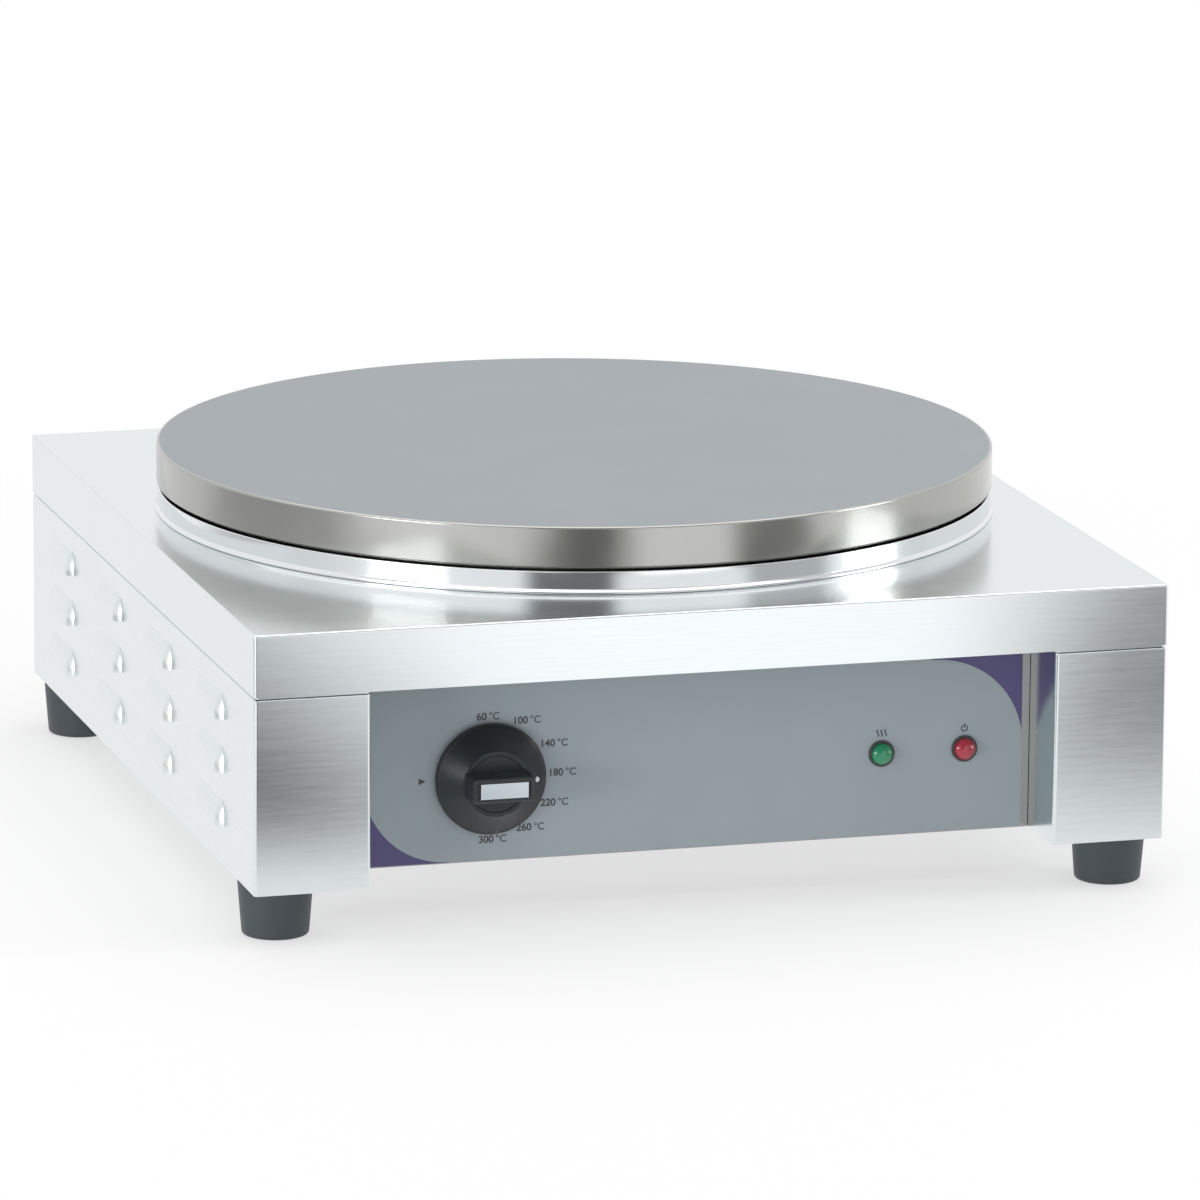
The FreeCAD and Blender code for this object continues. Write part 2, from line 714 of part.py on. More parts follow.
def make_feet():
    corners = {"front_left": ("-foot_across", "-foot_along"), "front_right": ("foot_across", "-foot_along"),
               "back_left": ("-foot_across", "foot_along"), "back_right": ("foot_across", "foot_along")}
    for name, (across, along) in corners.items():
        body = start_body(name + "_foot")
        bolt = "foot_bolt_radius + hole_clearance"
        revolve(body, [(bolt, "foot_height"), (bolt, "foot_well_depth"),
                       ("foot_well_radius", "foot_well_depth"), ("foot_well_radius", "0"),
                       ("foot_bottom_radius", "0"),
                       ("foot_top_radius", "foot_height")])
        rim = read("foot_bottom_radius") - 0.01
        soften(body, lambda edge: edge.BoundBox.ZMax < 0.01 and edge.BoundBox.XMax > rim, "foot_edge")
        put(body, across, along)
    spots = four_spots("foot_across", "foot_along")
    shank = "base_top + foot_nut_height + thread_fit - foot_well_depth + foot_head_height"
    pad_screws("foot_screws", "XY_Plane", spots, "foot_well_depth - foot_head_height", "foot_head_height",
               "foot_head_radius", "foot_well_depth - foot_head_height", shank, "foot_bolt_radius")
    pad_nuts("foot_nuts", "XY_Plane", spots, "base_top", "foot_nut_height", "foot_nut_flats",
             "foot_bolt_radius")


# Griddle plate, collar ring and what lies under the plate

def stud_spots():
    return four_spots("stud_spread", "stud_spread")


def make_griddle_plate():
    body = start_body("griddle_plate")
    hollow = "plate_radius - plate_rim"
    revolve(body, [("0", "web_under"), (hollow, "web_under"), (hollow, "plate_bottom"),
                   ("plate_radius", "plate_bottom"), ("plate_radius", "plate_top"), ("0", "plate_top")])
    pad_discs(body, "XY_Plane", stud_spots(), "boss_under", "boss_height", "boss_radius")
    rim = read("plate_radius") - 0.01

    def is_rim(edge):
        return edge.Curve.TypeId == "Part::GeomCircle" and edge.Curve.Radius > rim
    soften(body, is_rim, "plate_edge")
    drill(body, "XY_Plane", stud_spots(), "boss_under", "boss_height + stud_bite + thread_fit",
          "stud_radius + thread_fit")
    put(body, along="plate_setback")


def make_collar_ring():
    body = start_body("collar_ring")
    lip = "(ring_neck + ring_flare)"
    waist = "cover_top + ring_flare_height"
    revolve(body, [("ring_neck - ring_shelf", "ring_top"), ("ring_neck", "ring_top"), ("ring_neck", waist),
                   (lip, "cover_top + ring_lip_height"), (lip, "cover_top"),
                   (lip + " - ring_sheet", "cover_top"),
                   (lip + " - ring_sheet", "cover_top + ring_lip_height - ring_sheet / 2"),
                   ("ring_neck - ring_sheet", waist), ("ring_neck - ring_sheet", "ring_top - ring_sheet"),
                   ("ring_neck - ring_shelf", "ring_top - ring_sheet")])
    put(body, along="plate_setback")


def leg_spots():
    """Where the four ends of the two heating elements come down, about the plate's middle."""
    outer = [(sign + "leg_half_gap", "outer_leg_along") for sign in ("", "-")]
    inner = [("inner_leg_along", sign + "leg_half_gap") for sign in ("", "-")]
    return outer + inner


def capillary_spot():
    return ("-bulb_distance", "-(bulb_length / 2 + capillary_bend * 2)")


def make_pan_and_mat():
    legs = "element_tube / 2 + leg_clearance"
    stud = "stud_radius + hole_clearance"
    capillary = "capillary_radius * 3"
    pan = start_body("insulation_pan")
    inside = "pan_wall - pan_sheet"
    lip = "pan_wall + pan_flange"
    revolve(pan, [("0", "bar_top"), ("pan_wall", "bar_top"), ("pan_wall", "cover_top"), (lip, "cover_top"),
                  (lip, "cover_top + pan_sheet"), (inside, "cover_top + pan_sheet"), (inside, "pan_floor"),
                  ("0", "pan_floor")])
    drill(pan, "XY_Plane", leg_spots(), "bar_top", "pan_sheet", legs)
    drill(pan, "XY_Plane", stud_spots(), "bar_top", "pan_sheet", stud)
    drill(pan, "XY_Plane", [capillary_spot()], "bar_top", "pan_sheet", capillary)
    put(pan, along="plate_setback")
    mat = start_body("insulation_mat")
    pad_discs(mat, "XY_Plane", [("0", "0")], "pan_floor", "clamp_under - pan_floor", inside + " - mat_gap")
    depth = "clamp_under - pan_floor"
    drill(mat, "XY_Plane", leg_spots(), "pan_floor", depth, "element_bend")
    drill(mat, "XY_Plane", stud_spots(), "pan_floor", depth, "stud_nut_flats / sqrt(3) + mat_gap")
    drill(mat, "XY_Plane", [capillary_spot()], "pan_floor", depth, capillary)
    put(mat, along="plate_setback")
    clamp = start_body("element_plate")
    pad_discs(clamp, "XY_Plane", [("0", "0")], "clamp_under", "clamp_sheet", "plate_radius - clamp_inset")
    drill(clamp, "XY_Plane", leg_spots(), "clamp_under", "clamp_sheet", "element_bend")
    drill(clamp, "XY_Plane", stud_spots(), "clamp_under", "clamp_sheet", stud)
    drill(clamp, "XY_Plane", [capillary_spot()], "clamp_under", "clamp_sheet", capillary)
    put(clamp, along="plate_setback")


def make_element(label, loop, gap, facing):
    """A tube bent to an open loop, with both ends turned down through quarter bends."""
    centre = Vector(0, read("plate_setback"), read("element_axis"))
    bend = read("element_bend")
    down = Vector(0, 0, -1)
    drop = read("element_axis") - bend - read("leg_bottom")

    def at_angle(degrees):
        turned = math.radians(degrees)
        return Vector(math.cos(turned), math.sin(turned), 0)

    def leg(start_angle, heading_angle):
        start = centre + at_angle(start_angle) * loop
        heading = at_angle(heading_angle)
        slope = math.sqrt(0.5)
        middle = start + heading * (bend * slope) + down * (bend * (1 - slope))
        end = start + heading * bend + down * bend
        return start, middle, end, end + down * drop
    start, middle, end, foot = leg(facing + gap, facing + gap - 90)
    other_start, other_middle, other_end, other_foot = leg(facing - gap, facing - gap + 90)
    around = Part.Arc(start, centre - at_angle(facing) * loop, other_start).toShape()
    edges = [Part.LineSegment(foot, end).toShape(), Part.Arc(end, middle, start).toShape(), around,
             Part.Arc(other_start, other_middle, other_end).toShape(),
             Part.LineSegment(other_end, other_foot).toShape()]
    sweep_round(label, edges, read("element_tube") / 2)


def make_elements():
    make_element("outer_element", read("outer_loop"), read("outer_gap_angle"), 90)
    make_element("inner_element", read("inner_loop"), read("inner_gap_angle"), 0)
    pins = start_body("element_pins")
    pad_discs(pins, "XY_Plane", leg_spots(), "pin_bottom", "pin_length", "pin_radius")
    put(pins, along="plate_setback")


# What carries the plate

def make_bars_and_rails():
    end = "(inner_half_width - bar_end_gap)"
    leg_end = "(inner_half_width - rail_shelf - bar_end_gap)"
    for name, side in (("front_bar", "-"), ("rear_bar", "+")):
        bar = start_body(name)
        web = sketch_on(bar, "XY_Plane", "rail_top")
        draw_rectangle(web, "-" + end, end, "-bar_width / 2", "bar_width / 2")
        pad(bar, web, "bar_sheet")
        legs = sketch_on(bar, "XY_Plane", "bar_top - bar_depth")
        draw_rectangle(legs, "-" + leg_end, leg_end, "bar_width / 2 - bar_sheet", "bar_width / 2")
        draw_rectangle(legs, "-" + leg_end, leg_end, "-bar_width / 2", "bar_sheet - bar_width / 2")
        pad(bar, legs, "bar_depth - bar_sheet")
        drill(bar, "XY_Plane", [("stud_spread", "0"), ("-stud_spread", "0")], "rail_top", "bar_sheet",
              "stud_radius + hole_clearance")
        drill(bar, "XY_Plane", [("bar_screw_line", "0"), ("-bar_screw_line", "0")], "rail_top", "bar_sheet",
              "bar_bolt_radius + hole_clearance")
        put(bar, along="plate_setback %s stud_spread" % side)
    rail = start_body("left_rail")
    half = "(stud_spread + bar_width / 2 + rail_overhang)"
    shelf = sketch_on(rail, "XY_Plane", "rail_top - rail_sheet")
    draw_rectangle(shelf, "-inner_half_width", "-(inner_half_width - rail_shelf)",
                   "plate_setback - " + half, "plate_setback + " + half)
    pad(rail, shelf, "rail_sheet")
    leg = sketch_on(rail, "XY_Plane", "rail_top - rail_depth")
    draw_rectangle(leg, "-inner_half_width", "-(inner_half_width - rail_sheet)",
                   "plate_setback - " + half, "plate_setback + " + half)
    pad(rail, leg, "rail_depth - rail_sheet")
    drill(rail, "XY_Plane", [("-bar_screw_line", "plate_setback + stud_spread"),
                             ("-bar_screw_line", "plate_setback - stud_spread")],
          "rail_top - rail_sheet", "rail_sheet", "bar_bolt_radius + thread_fit")
    put(rail)
    mirror = doc.addObject("Part::Mirroring", "right_rail")
    mirror.Label = "right_rail"
    mirror.Source = rail
    mirror.Normal = Vector(1, 0, 0)
    spots = four_spots("bar_screw_line", "stud_spread", "plate_setback")
    shank = "bar_sheet + rail_sheet + screw_tail"
    pad_screws("bar_screws", "XY_Plane", spots, "bar_top", "bar_head_height", "bar_head_radius",
               "bar_top - (%s)" % shank, shank, "bar_bolt_radius")


def make_plate_studs():
    spots = four_spots("stud_spread", "stud_spread", "plate_setback")
    studs = start_body("plate_studs")
    low = "rail_top - stud_nut_height - stud_tail"
    pad_discs(studs, "XY_Plane", spots, low, "web_under + stud_bite - (%s)" % low, "stud_radius")
    pad_nuts("clamp_nuts", "XY_Plane", spots, "nut_under", "stud_nut_height", "stud_nut_flats", "stud_radius")
    pad_nuts("stud_nuts", "XY_Plane", spots, "rail_top - stud_nut_height", "stud_nut_height",
             "stud_nut_flats", "stud_radius")
    sleeves = start_body("spacer_sleeves")
    pad_discs(sleeves, "XY_Plane", spots, "pan_floor", "nut_under - pan_floor", "sleeve_radius",
              "stud_radius + hole_clearance")


# Thermostat, knob and lamps

FORWARD = Rotation(Vector(1, 0, 0), 90)
BACKWARD = Rotation(Vector(1, 0, 0), -90)


def make_thermostat():
    body = start_body("thermostat_body")
    case = sketch_on(body, "XZ_Plane", "-thermostat_depth")
    draw_rectangle(case, "-thermostat_width / 2", "thermostat_width / 2",
                   "-thermostat_height / 2", "thermostat_height / 2")
    pad(body, case, "thermostat_depth")
    pad_discs(body, "XZ_Plane", [("0", "0")], "0",
              "panel_sheet + overlay_sheet + bushing_reach - knob_clearance", "bushing_radius")
    drill(body, "XZ_Plane", [("0", "0")], "-thermostat_bore", "thermostat_bore + bushing_reach + panel_sheet",
          "spindle_radius + spindle_fit")
    sides = [("thermostat_spread", "0"), ("-thermostat_spread", "0")]
    drill(body, "XZ_Plane", sides, "-thermostat_bore / 2", "thermostat_bore / 2",
          "small_bolt_radius + thread_fit")
    put(body, "knob_across", "-panel_back", "control_height")
    screws = pad_screws("thermostat_screws", "XZ_Plane", sides, "panel_sheet + overlay_sheet",
                        "small_head_height", "small_head_radius", "-thermostat_bore / 3",
                        "thermostat_bore / 3 + panel_sheet + overlay_sheet", "small_bolt_radius")
    put(screws, "knob_across", "-panel_back", "control_height")


def make_bulb():
    bulb_line = "web_under - bulb_radius"
    bulb = start_body("thermostat_bulb")
    pad_discs(bulb, "XZ_Plane", [("0", "0")], "-bulb_length / 2", "bulb_length", "bulb_radius")
    put(bulb, "-bulb_distance", "plate_setback", bulb_line)
    clip = start_body("bulb_clip")
    block = sketch_on(clip, "XZ_Plane", "-clip_length / 2")
    draw_rectangle(block, "-clip_width / 2", "clip_width / 2",
                   "bulb_radius - element_tube", "0")
    pad(clip, block, "clip_length")
    drill(clip, "XZ_Plane", [("0", "0")], "-clip_length / 2", "clip_length", "bulb_radius + inlay_fit")
    put(clip, "-bulb_distance", "plate_setback", bulb_line)
    across = -read("bulb_distance")
    front = read("plate_setback") - read("bulb_length") / 2
    bend = read("capillary_bend")
    turn = front - 2 * bend
    axis = read("web_under") - read("bulb_radius")
    level = read("capillary_level")
    middle = -(read("panel_back") - read("thermostat_depth") / 2)
    top = read("control_height") + read("thermostat_height") / 2
    target = read("knob_across")
    points = [Vector(across, front, axis), Vector(across, turn, axis), Vector(across, turn, level),
              Vector(target, middle, level), Vector(target, middle, top)]
    sweep_round("capillary_tube", straight_and_arcs(points, bend), read("capillary_radius"))


def make_knob():
    body = start_body("knob_body")
    wall = "knob_shell"
    shoulder = "knob_shoulder"
    ceiling = shoulder + " - knob_shell - hub_height"
    revolve(body, [("0", ceiling), ("hub_radius", ceiling), ("knob_radius - " + wall, "knob_rim / 2"),
                   ("knob_radius - " + wall, "0"), ("knob_radius", "0"),
                   ("knob_radius", "knob_rim"), ("hub_radius + hub_height / 2", shoulder),
                   ("hub_radius", shoulder + " + hub_height"), ("0", shoulder + " + hub_height")])
    grip = sketch_on(body, "XY_Plane", shoulder)
    draw_rectangle(grip, "-grip_length / 2", "grip_length / 2", "-grip_width / 2", "grip_width / 2")
    pad(body, grip, "knob_reach - (%s)" % shoulder)
    core = "spindle_radius + knob_shell"
    pad_discs(body, "XY_Plane", [("0", "0")], "bushing_reach", shoulder + " - bushing_reach", core)
    top = read("knob_reach")
    crown = read(shoulder) + read("hub_height")

    def on_grip(edge):
        box = edge.BoundBox
        return box.ZMin > crown - 0.01 and (box.ZMax > top - 0.01 or is_upright(edge))
    soften(body, on_grip, "grip_round")
    drill(body, "XY_Plane", [("pointer_distance", "0")], "knob_rim + pointer_height", "knob_cone",
          "pointer_radius + inlay_fit")
    seat = sketch_on(body, "XY_Plane", "knob_reach - insert_depth")
    draw_rectangle(seat, "-insert_length / 2 - inlay_fit", "insert_length / 2 + inlay_fit",
                   "-insert_width / 2 - inlay_fit", "insert_width / 2 + inlay_fit")
    pocket(body, seat, "insert_depth")
    socket = sketch_on(body, "XY_Plane", "bushing_reach")
    draw_circle(socket, ("0", "0"), "spindle_radius + inlay_fit")
    pocket(body, socket, "spindle_bite")
    insert = start_body("knob_insert")
    face = sketch_on(insert, "XY_Plane", "knob_reach - insert_depth")
    draw_rectangle(face, "-insert_length / 2", "insert_length / 2", "-insert_width / 2", "insert_width / 2")
    pad(insert, face, "insert_depth + insert_proud")
    pointer = start_body("knob_pointer")
    pad_discs(pointer, "XY_Plane", [("pointer_distance", "0")], "knob_rim + pointer_height", "pointer_height",
              "pointer_radius")
    spindle = start_body("thermostat_spindle")
    back = "bushing_reach + spindle_bite - spindle_length"
    pad_discs(spindle, "XY_Plane", [("0", "0")], back, "spindle_length", "spindle_radius")
    flat = sketch_on(spindle, "XY_Plane", "bushing_reach + knob_shell")
    draw_rectangle(flat, "-spindle_radius", "spindle_radius", "spindle_radius - spindle_flat",
                   "spindle_radius + spindle_flat")
    pocket(spindle, flat, "spindle_bite")
    for piece in (body, insert, pointer, spindle):
        put(piece, "knob_across", "-knob_base", "control_height", FORWARD)


def make_lamps():
    spots = {"green": "green_across", "red": "red_across"}
    for colour, across in spots.items():
        lens = start_body(colour + "_lamp_lens")
        revolve(lens, [("0", "0"), ("lens_radius", "0"), ("lens_radius", "lens_reach / 3"),
                       ("lens_radius * 0.82", "lens_reach * 0.75"), ("lens_radius / 2", "lens_reach"),
                       ("0", "lens_reach")])
        put(lens, across, "-overlay_face", "control_height", FORWARD)
        lamp = start_body(colour + "_lamp_body")
        length = "panel_sheet + overlay_sheet + lamp_depth"
        pad_discs(lamp, "XY_Plane", [("0", "0")], "-(%s)" % length, length, "lamp_radius")
        put(lamp, across, "-overlay_face", "control_height", FORWARD)
    clips = start_body("lamp_clips")
    pad_discs(clips, "XZ_Plane", [(across, "control_height") for across in spots.values()],
              "panel_back - lamp_clip_sheet", "lamp_clip_sheet", "lamp_clip_radius",
              "lamp_radius + inlay_fit")


# Back end: mains entry, bonding stud, terminal block

def make_gland():
    body = start_body("gland_body")
    thread = "gland_tail + gland_thread_reach"
    pad_discs(body, "XY_Plane", [("0", "0")], "-gland_tail", thread, "gland_thread_radius")
    flange = sketch_on(body, "XY_Plane", "0")
    draw_hexagon(flange, ("0", "0"), "gland_flats")
    pad(body, flange, "gland_hex_height")
    drill(body, "XY_Plane", [("0", "0")], "-gland_tail", thread, "gland_bore_radius")
    cap = start_body("gland_cap")
    bore = "gland_thread_radius + thread_fit"
    top = "gland_hex_height + gland_cap_length"
    revolve(cap, [(bore, "gland_hex_height"), ("gland_cap_radius", "gland_hex_height"),
                  ("gland_cap_radius", top + " - gland_cap_face"), ("gland_thread_radius", top),
                  ("gland_bore_radius", top), ("gland_bore_radius", top + " - gland_cap_face"),
                  (bore, "gland_thread_reach + gland_cap_face / 2")])
    for piece in (body, cap):
        put(piece, "gland_across", "back_face", "gland_height", BACKWARD)
    spot = ("gland_across", "gland_height")
    pad_nuts("gland_locknut", "XZ_Plane", [spot], "-back_inside", "gland_lock_height", "gland_flats",
             "gland_thread_radius")


def make_bonding_stud():
    """A stud with a hexagon collar outside, a thick root through the panel and two nuts on it."""
    spot = ("bond_across", "bond_height")
    stud = start_body("bonding_stud")
    collar = sketch_on(stud, "XZ_Plane", "-(back_face + bond_collar_height)")
    draw_hexagon(collar, spot, "bond_collar_flats")
    pad(stud, collar, "bond_collar_height")
    pad_discs(stud, "XZ_Plane", [spot], "-back_face", "panel_sheet + bond_tail", "bond_root_radius")
    pad_discs(stud, "XZ_Plane", [spot], "-(back_face + bond_collar_height + bond_reach)",
              "bond_reach", "bond_radius")
    nuts = start_body("bonding_nuts")
    for level in ("-back_inside", "bond_collar_height + sheet_gap - back_inside"):
        sketch = sketch_on(nuts, "XZ_Plane", level)
        draw_hexagon(sketch, spot, "bond_collar_flats")
        draw_circle(sketch, spot, "bond_root_radius + thread_fit")
        pad(nuts, sketch, "bond_collar_height")


def make_terminal_block():
    body = start_body("terminal_block")
    outline = sketch_on(body, "XY_Plane", "base_top")
    draw_rectangle(outline, "gland_across - block_width / 2", "gland_across + block_width / 2",
                   "block_along - block_depth / 2", "block_along + block_depth / 2")
    pad(body, outline, "block_height")


# Small screws of the sheet metal

def make_sheet_screws():
    spots = screw_spots()
    grip = "2 * panel_sheet + sheet_gap"
    screws = start_body("panel_screws")
    nuts = start_body("panel_nuts")
    for side in ("", "-"):
        inner = "(panel_half - panel_sheet)"
        shank = "(%s + small_nut_height)" % grip
        level = inner if side == "" else "-(%s + %s)" % (inner, shank)
        pad_discs(screws, "YZ_Plane", spots, level, shank, "small_bolt_radius")
        head = inner + " - small_head_height" if side == "" else "-" + inner
        pad_discs(screws, "YZ_Plane", spots, head, "small_head_height", "small_head_radius")
        seat = "return_half" if side == "" else "-(return_half + small_nut_height)"
        sketch = sketch_on(nuts, "YZ_Plane", seat)
        for spot in spots:
            draw_hexagon(sketch, spot, "small_nut_flats")
            draw_circle(sketch, spot, "small_bolt_radius + thread_fit")
        pad(nuts, sketch, "small_nut_height")
    length = "panel_sheet + base_sheet + screw_tail"
    pad_screws("base_screws", "XY_Plane", base_spots(), "foot_height - small_head_height",
               "small_head_height", "small_head_radius", "foot_height", length, "small_bolt_radius")


# Internal leads

def make_leads():
    """Each lead runs from terminal to terminal in straight runs with rounded turns."""
    level = read("lead_level")
    step = read("lead_step")
    block_x = read("gland_across")
    block_y = read("block_along") - read("block_depth") / 2
    back = -(read("panel_back") - read("thermostat_depth"))
    knob_x = read("knob_across")
    knob_z = read("control_height")
    middle = read("plate_setback")
    pin = read("pin_bottom")
    outer_x = read("leg_half_gap")
    outer_y = middle + read("outer_leg_along")
    inner_x = read("inner_leg_along")
    inner_y = read("leg_half_gap")
    lamp_back = -(read("panel_back") - read("lamp_depth"))
    red_x = read("red_across")
    green_x = read("green_across")
    bond_x = read("bond_across")
    bond_y = read("back_inside") - read("bond_tail")
    bond_z = read("bond_height")
    ahead = back + 3 * step
    routes = {
        "live_lead": [(block_x - step, block_y, level), (block_x - step, ahead + step, level),
                      (knob_x - step, ahead + step, level), (knob_x - step, ahead + step, knob_z - step),
                      (knob_x - step, back, knob_z - step)],
        "heater_lead": [(knob_x + step, back, knob_z - step), (knob_x + step, ahead, knob_z - step),
                        (knob_x + step, ahead, knob_z + 2 * step), (-outer_x, outer_y, knob_z + 2 * step),
                        (-outer_x, outer_y, pin)],
        "link_lead": [(outer_x, outer_y, pin), (outer_x, outer_y, pin - step - 3),
                      (inner_x, middle + inner_y, pin - step - 3), (inner_x, middle + inner_y, pin)],
        "neutral_lead": [(block_x, block_y, level), (block_x, block_y - 3 * step, level),
                         (block_x, block_y - 3 * step, knob_z), (inner_x, middle - inner_y, knob_z),
                         (inner_x, middle - inner_y, pin)],
        "red_lamp_lead": [(block_x + step, block_y, level), (block_x + step, lamp_back + 3 * step, level),
                          (red_x, lamp_back + 3 * step, level), (red_x, lamp_back + 2 * step, knob_z),
                          (red_x, lamp_back, knob_z)],
        "green_lamp_lead": [(knob_x, back, knob_z), (knob_x, back + 2 * step, knob_z),
                            (green_x, back + 2 * step, knob_z), (green_x, lamp_back, knob_z)],
        "earth_lead": [(block_x - step * 1.6, block_y, level + step / 2),
                       (block_x - step * 1.6, block_y - 2 * step, level + step / 2),
                       (bond_x, block_y - 2 * step, bond_z), (bond_x, bond_y, bond_z)],
    }
    for name, points in routes.items():
        edges = straight_and_arcs([Vector(*point) for point in points], read("lead_bend"))
        sweep_round(name, edges, read("lead_radius"))


# Build every sub-part

make_top_cover()
make_side_panels()
make_end_panels()
make_base_plate()
make_feet()
make_griddle_plate()
make_collar_ring()
make_pan_and_mat()
make_elements()
make_bars_and_rails()
make_plate_studs()
make_thermostat()
make_bulb()
make_knob()
make_lamps()
make_gland()
make_bonding_stud()
make_terminal_block()
make_sheet_screws()
make_leads()
doc.recompute()

# Check every object and shape, then write one file for each sub-part
for item in doc.Objects:
    if "Invalid" in item.State or "Error" in item.State:
        raise ValueError("%s failed: %s" % (item.Name, item.State))

PART_TYPES = ("PartDesign::Body", "Part::Mirroring", "Part::Feature")
nodes = [item for item in doc.Objects if item.TypeId in PART_TYPES]
for node in nodes:
    if node.Shape.isNull() or not node.Shape.isValid() or not node.Shape.Solids:
        raise ValueError(node.Label + " has no valid solid")

os.makedirs("parts", exist_ok=True)
for node in nodes:
    node.Shape.exportStep("parts/" + node.Label + ".step")
    print(node.Label, len(node.Shape.Solids), round(node.Shape.Volume, 1))
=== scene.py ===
import json
import math

import bmesh
import bpy
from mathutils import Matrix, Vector


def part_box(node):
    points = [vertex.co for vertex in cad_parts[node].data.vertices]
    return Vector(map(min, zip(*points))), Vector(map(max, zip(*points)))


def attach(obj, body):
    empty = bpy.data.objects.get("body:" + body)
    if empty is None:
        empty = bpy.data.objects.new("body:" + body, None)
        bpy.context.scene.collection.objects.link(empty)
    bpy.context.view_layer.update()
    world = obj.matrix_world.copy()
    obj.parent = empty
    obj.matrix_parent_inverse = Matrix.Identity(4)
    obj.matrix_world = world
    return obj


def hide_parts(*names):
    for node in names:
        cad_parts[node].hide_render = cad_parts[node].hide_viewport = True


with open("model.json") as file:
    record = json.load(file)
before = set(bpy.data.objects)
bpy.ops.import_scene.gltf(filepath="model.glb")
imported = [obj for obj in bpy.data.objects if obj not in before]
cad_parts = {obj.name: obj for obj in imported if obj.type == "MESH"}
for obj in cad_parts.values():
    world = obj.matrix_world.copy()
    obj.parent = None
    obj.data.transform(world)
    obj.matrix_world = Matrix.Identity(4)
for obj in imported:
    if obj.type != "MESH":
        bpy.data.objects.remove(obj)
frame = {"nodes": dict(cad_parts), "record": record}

# Electric crepe maker: the finish of every surface, in metres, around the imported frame
MM = 0.001
UP = Vector((0, 0, 1))
TO_FRONT = Vector((0, -1, 0))
TO_BACK = Vector((0, 1, 0))
NEAR = 0.01 * MM
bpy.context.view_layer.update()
bpy.ops.object.select_all(action="DESELECT")

# Sheet metal and clearances
SHEET = 1.0 * MM
COVER_CORNER = 1.5 * MM
COVER_EDGE = 1.0 * MM
PAN_OVERLAP = 7.2 * MM
WALL_BEND = 1.6 * MM
WALL_PROUD = 1.0 * MM
SEAM = 0.9 * MM
JOGGLE = 1.1 * MM
RETURN_REACH = 18.0 * MM
BOTTOM_FLANGE = 30.0 * MM
TOP_FLANGE = 12.0 * MM
LOUVRE_REACH = 4.5 * MM

# Where the frame puts the main pieces
COVER_LOW, COVER_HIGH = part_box("top_cover")
SIDE_LOW, SIDE_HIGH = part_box("left_side_panel")
PRINT_LOW, PRINT_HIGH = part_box("panel_overlay")
PLATE_LOW, PLATE_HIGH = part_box("griddle_plate")
RING_LOW, RING_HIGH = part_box("collar_ring")
BACK_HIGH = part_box("back_panel")[1]
KNOB_LOW, KNOB_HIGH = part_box("knob_body")

PLAIN_X = -SIDE_LOW.x - LOUVRE_REACH
PLAIN_Y = SIDE_HIGH.y
WALL_X = PLAIN_X + WALL_PROUD
WALL_Y = PLAIN_Y + WALL_PROUD
COLUMN_X = -SIDE_HIGH.x
PANEL_FACE = PRINT_HIGH.y
BACK_FACE = BACK_HIGH.y - TOP_FLANGE
PLATE_MIDDLE = (PLATE_LOW + PLATE_HIGH) / 2


# Modelling steps

def activate(piece):
    for item in bpy.context.selected_objects:
        item.select_set(False)
    piece.select_set(True)
    bpy.context.view_layer.objects.active = piece


def apply_place(name):
    """Name the object just added and put its place into its mesh."""
    piece = bpy.context.active_object
    piece.name = name
    piece.data.name = name
    activate(piece)
    bpy.ops.object.transform_apply(location=True, rotation=True, scale=True)
    return piece


def block(name, low, high):
    low, high = Vector(low), Vector(high)
    bpy.ops.mesh.primitive_cube_add(size=1, location=(low + high) / 2, scale=high - low)
    return apply_place(name)


def pick(piece, kind, test):
    """Enter edit mode with only the passing vertices, edges or faces selected."""
    activate(piece)
    bpy.ops.object.mode_set(mode="EDIT")
    bpy.ops.mesh.select_mode(type=kind)
    bpy.ops.mesh.select_all(action="DESELECT")
    mesh = bmesh.from_edit_mesh(piece.data)
    items = {"VERT": mesh.verts, "EDGE": mesh.edges, "FACE": mesh.faces}[kind]
    for item in items:
        item.select_set(bool(test(item)))
    mesh.select_flush_mode()
    bmesh.update_edit_mesh(piece.data)


def leave():
    bpy.ops.object.mode_set(mode="OBJECT")


def middle(item):
    return sum((corner.co for corner in item.verts), Vector()) / len(item.verts)


def is_upright(edge):
    run = edge.verts[1].co - edge.verts[0].co
    return abs(run.z) > 0.99 * run.length


def round_edges(piece, test, radius, segments):
    pick(piece, "EDGE", test)
    bpy.ops.mesh.bevel(offset=radius, segments=segments, affect="EDGES")
    leave()


def close_up(piece):
    """Merge doubled points and turn every face outwards."""
    activate(piece)
    bpy.ops.object.mode_set(mode="EDIT")
    bpy.ops.mesh.select_all(action="SELECT")
    bpy.ops.mesh.remove_doubles(threshold=0.002 * MM)
    bpy.ops.mesh.normals_make_consistent(inside=False)
    leave()


def apply_modifier(piece, kind, **settings):
    activate(piece)
    modifier = piece.modifiers.new("step", kind)
    for key, value in settings.items():
        setattr(modifier, key, value)
    bpy.ops.object.modifier_apply(modifier=modifier.name)


def smooth(piece, degrees=30):
    """Shade the small bends round and keep the broad faces flat."""
    activate(piece)
    bpy.ops.object.shade_smooth_by_angle(angle=math.radians(degrees))
    apply_modifier(piece, "WEIGHTED_NORMAL", keep_sharp=True)
    return piece


def combine(piece, other, operation):
    """Cut the other shape out of the piece or fuse it on."""
    apply_modifier(piece, "BOOLEAN", operation=operation, object=other, solver="EXACT")
    bpy.data.objects.remove(other)


def join(pieces):
    activate(pieces[0])
    for piece in pieces[1:]:
        piece.select_set(True)
    bpy.ops.object.join()
    return pieces[0]


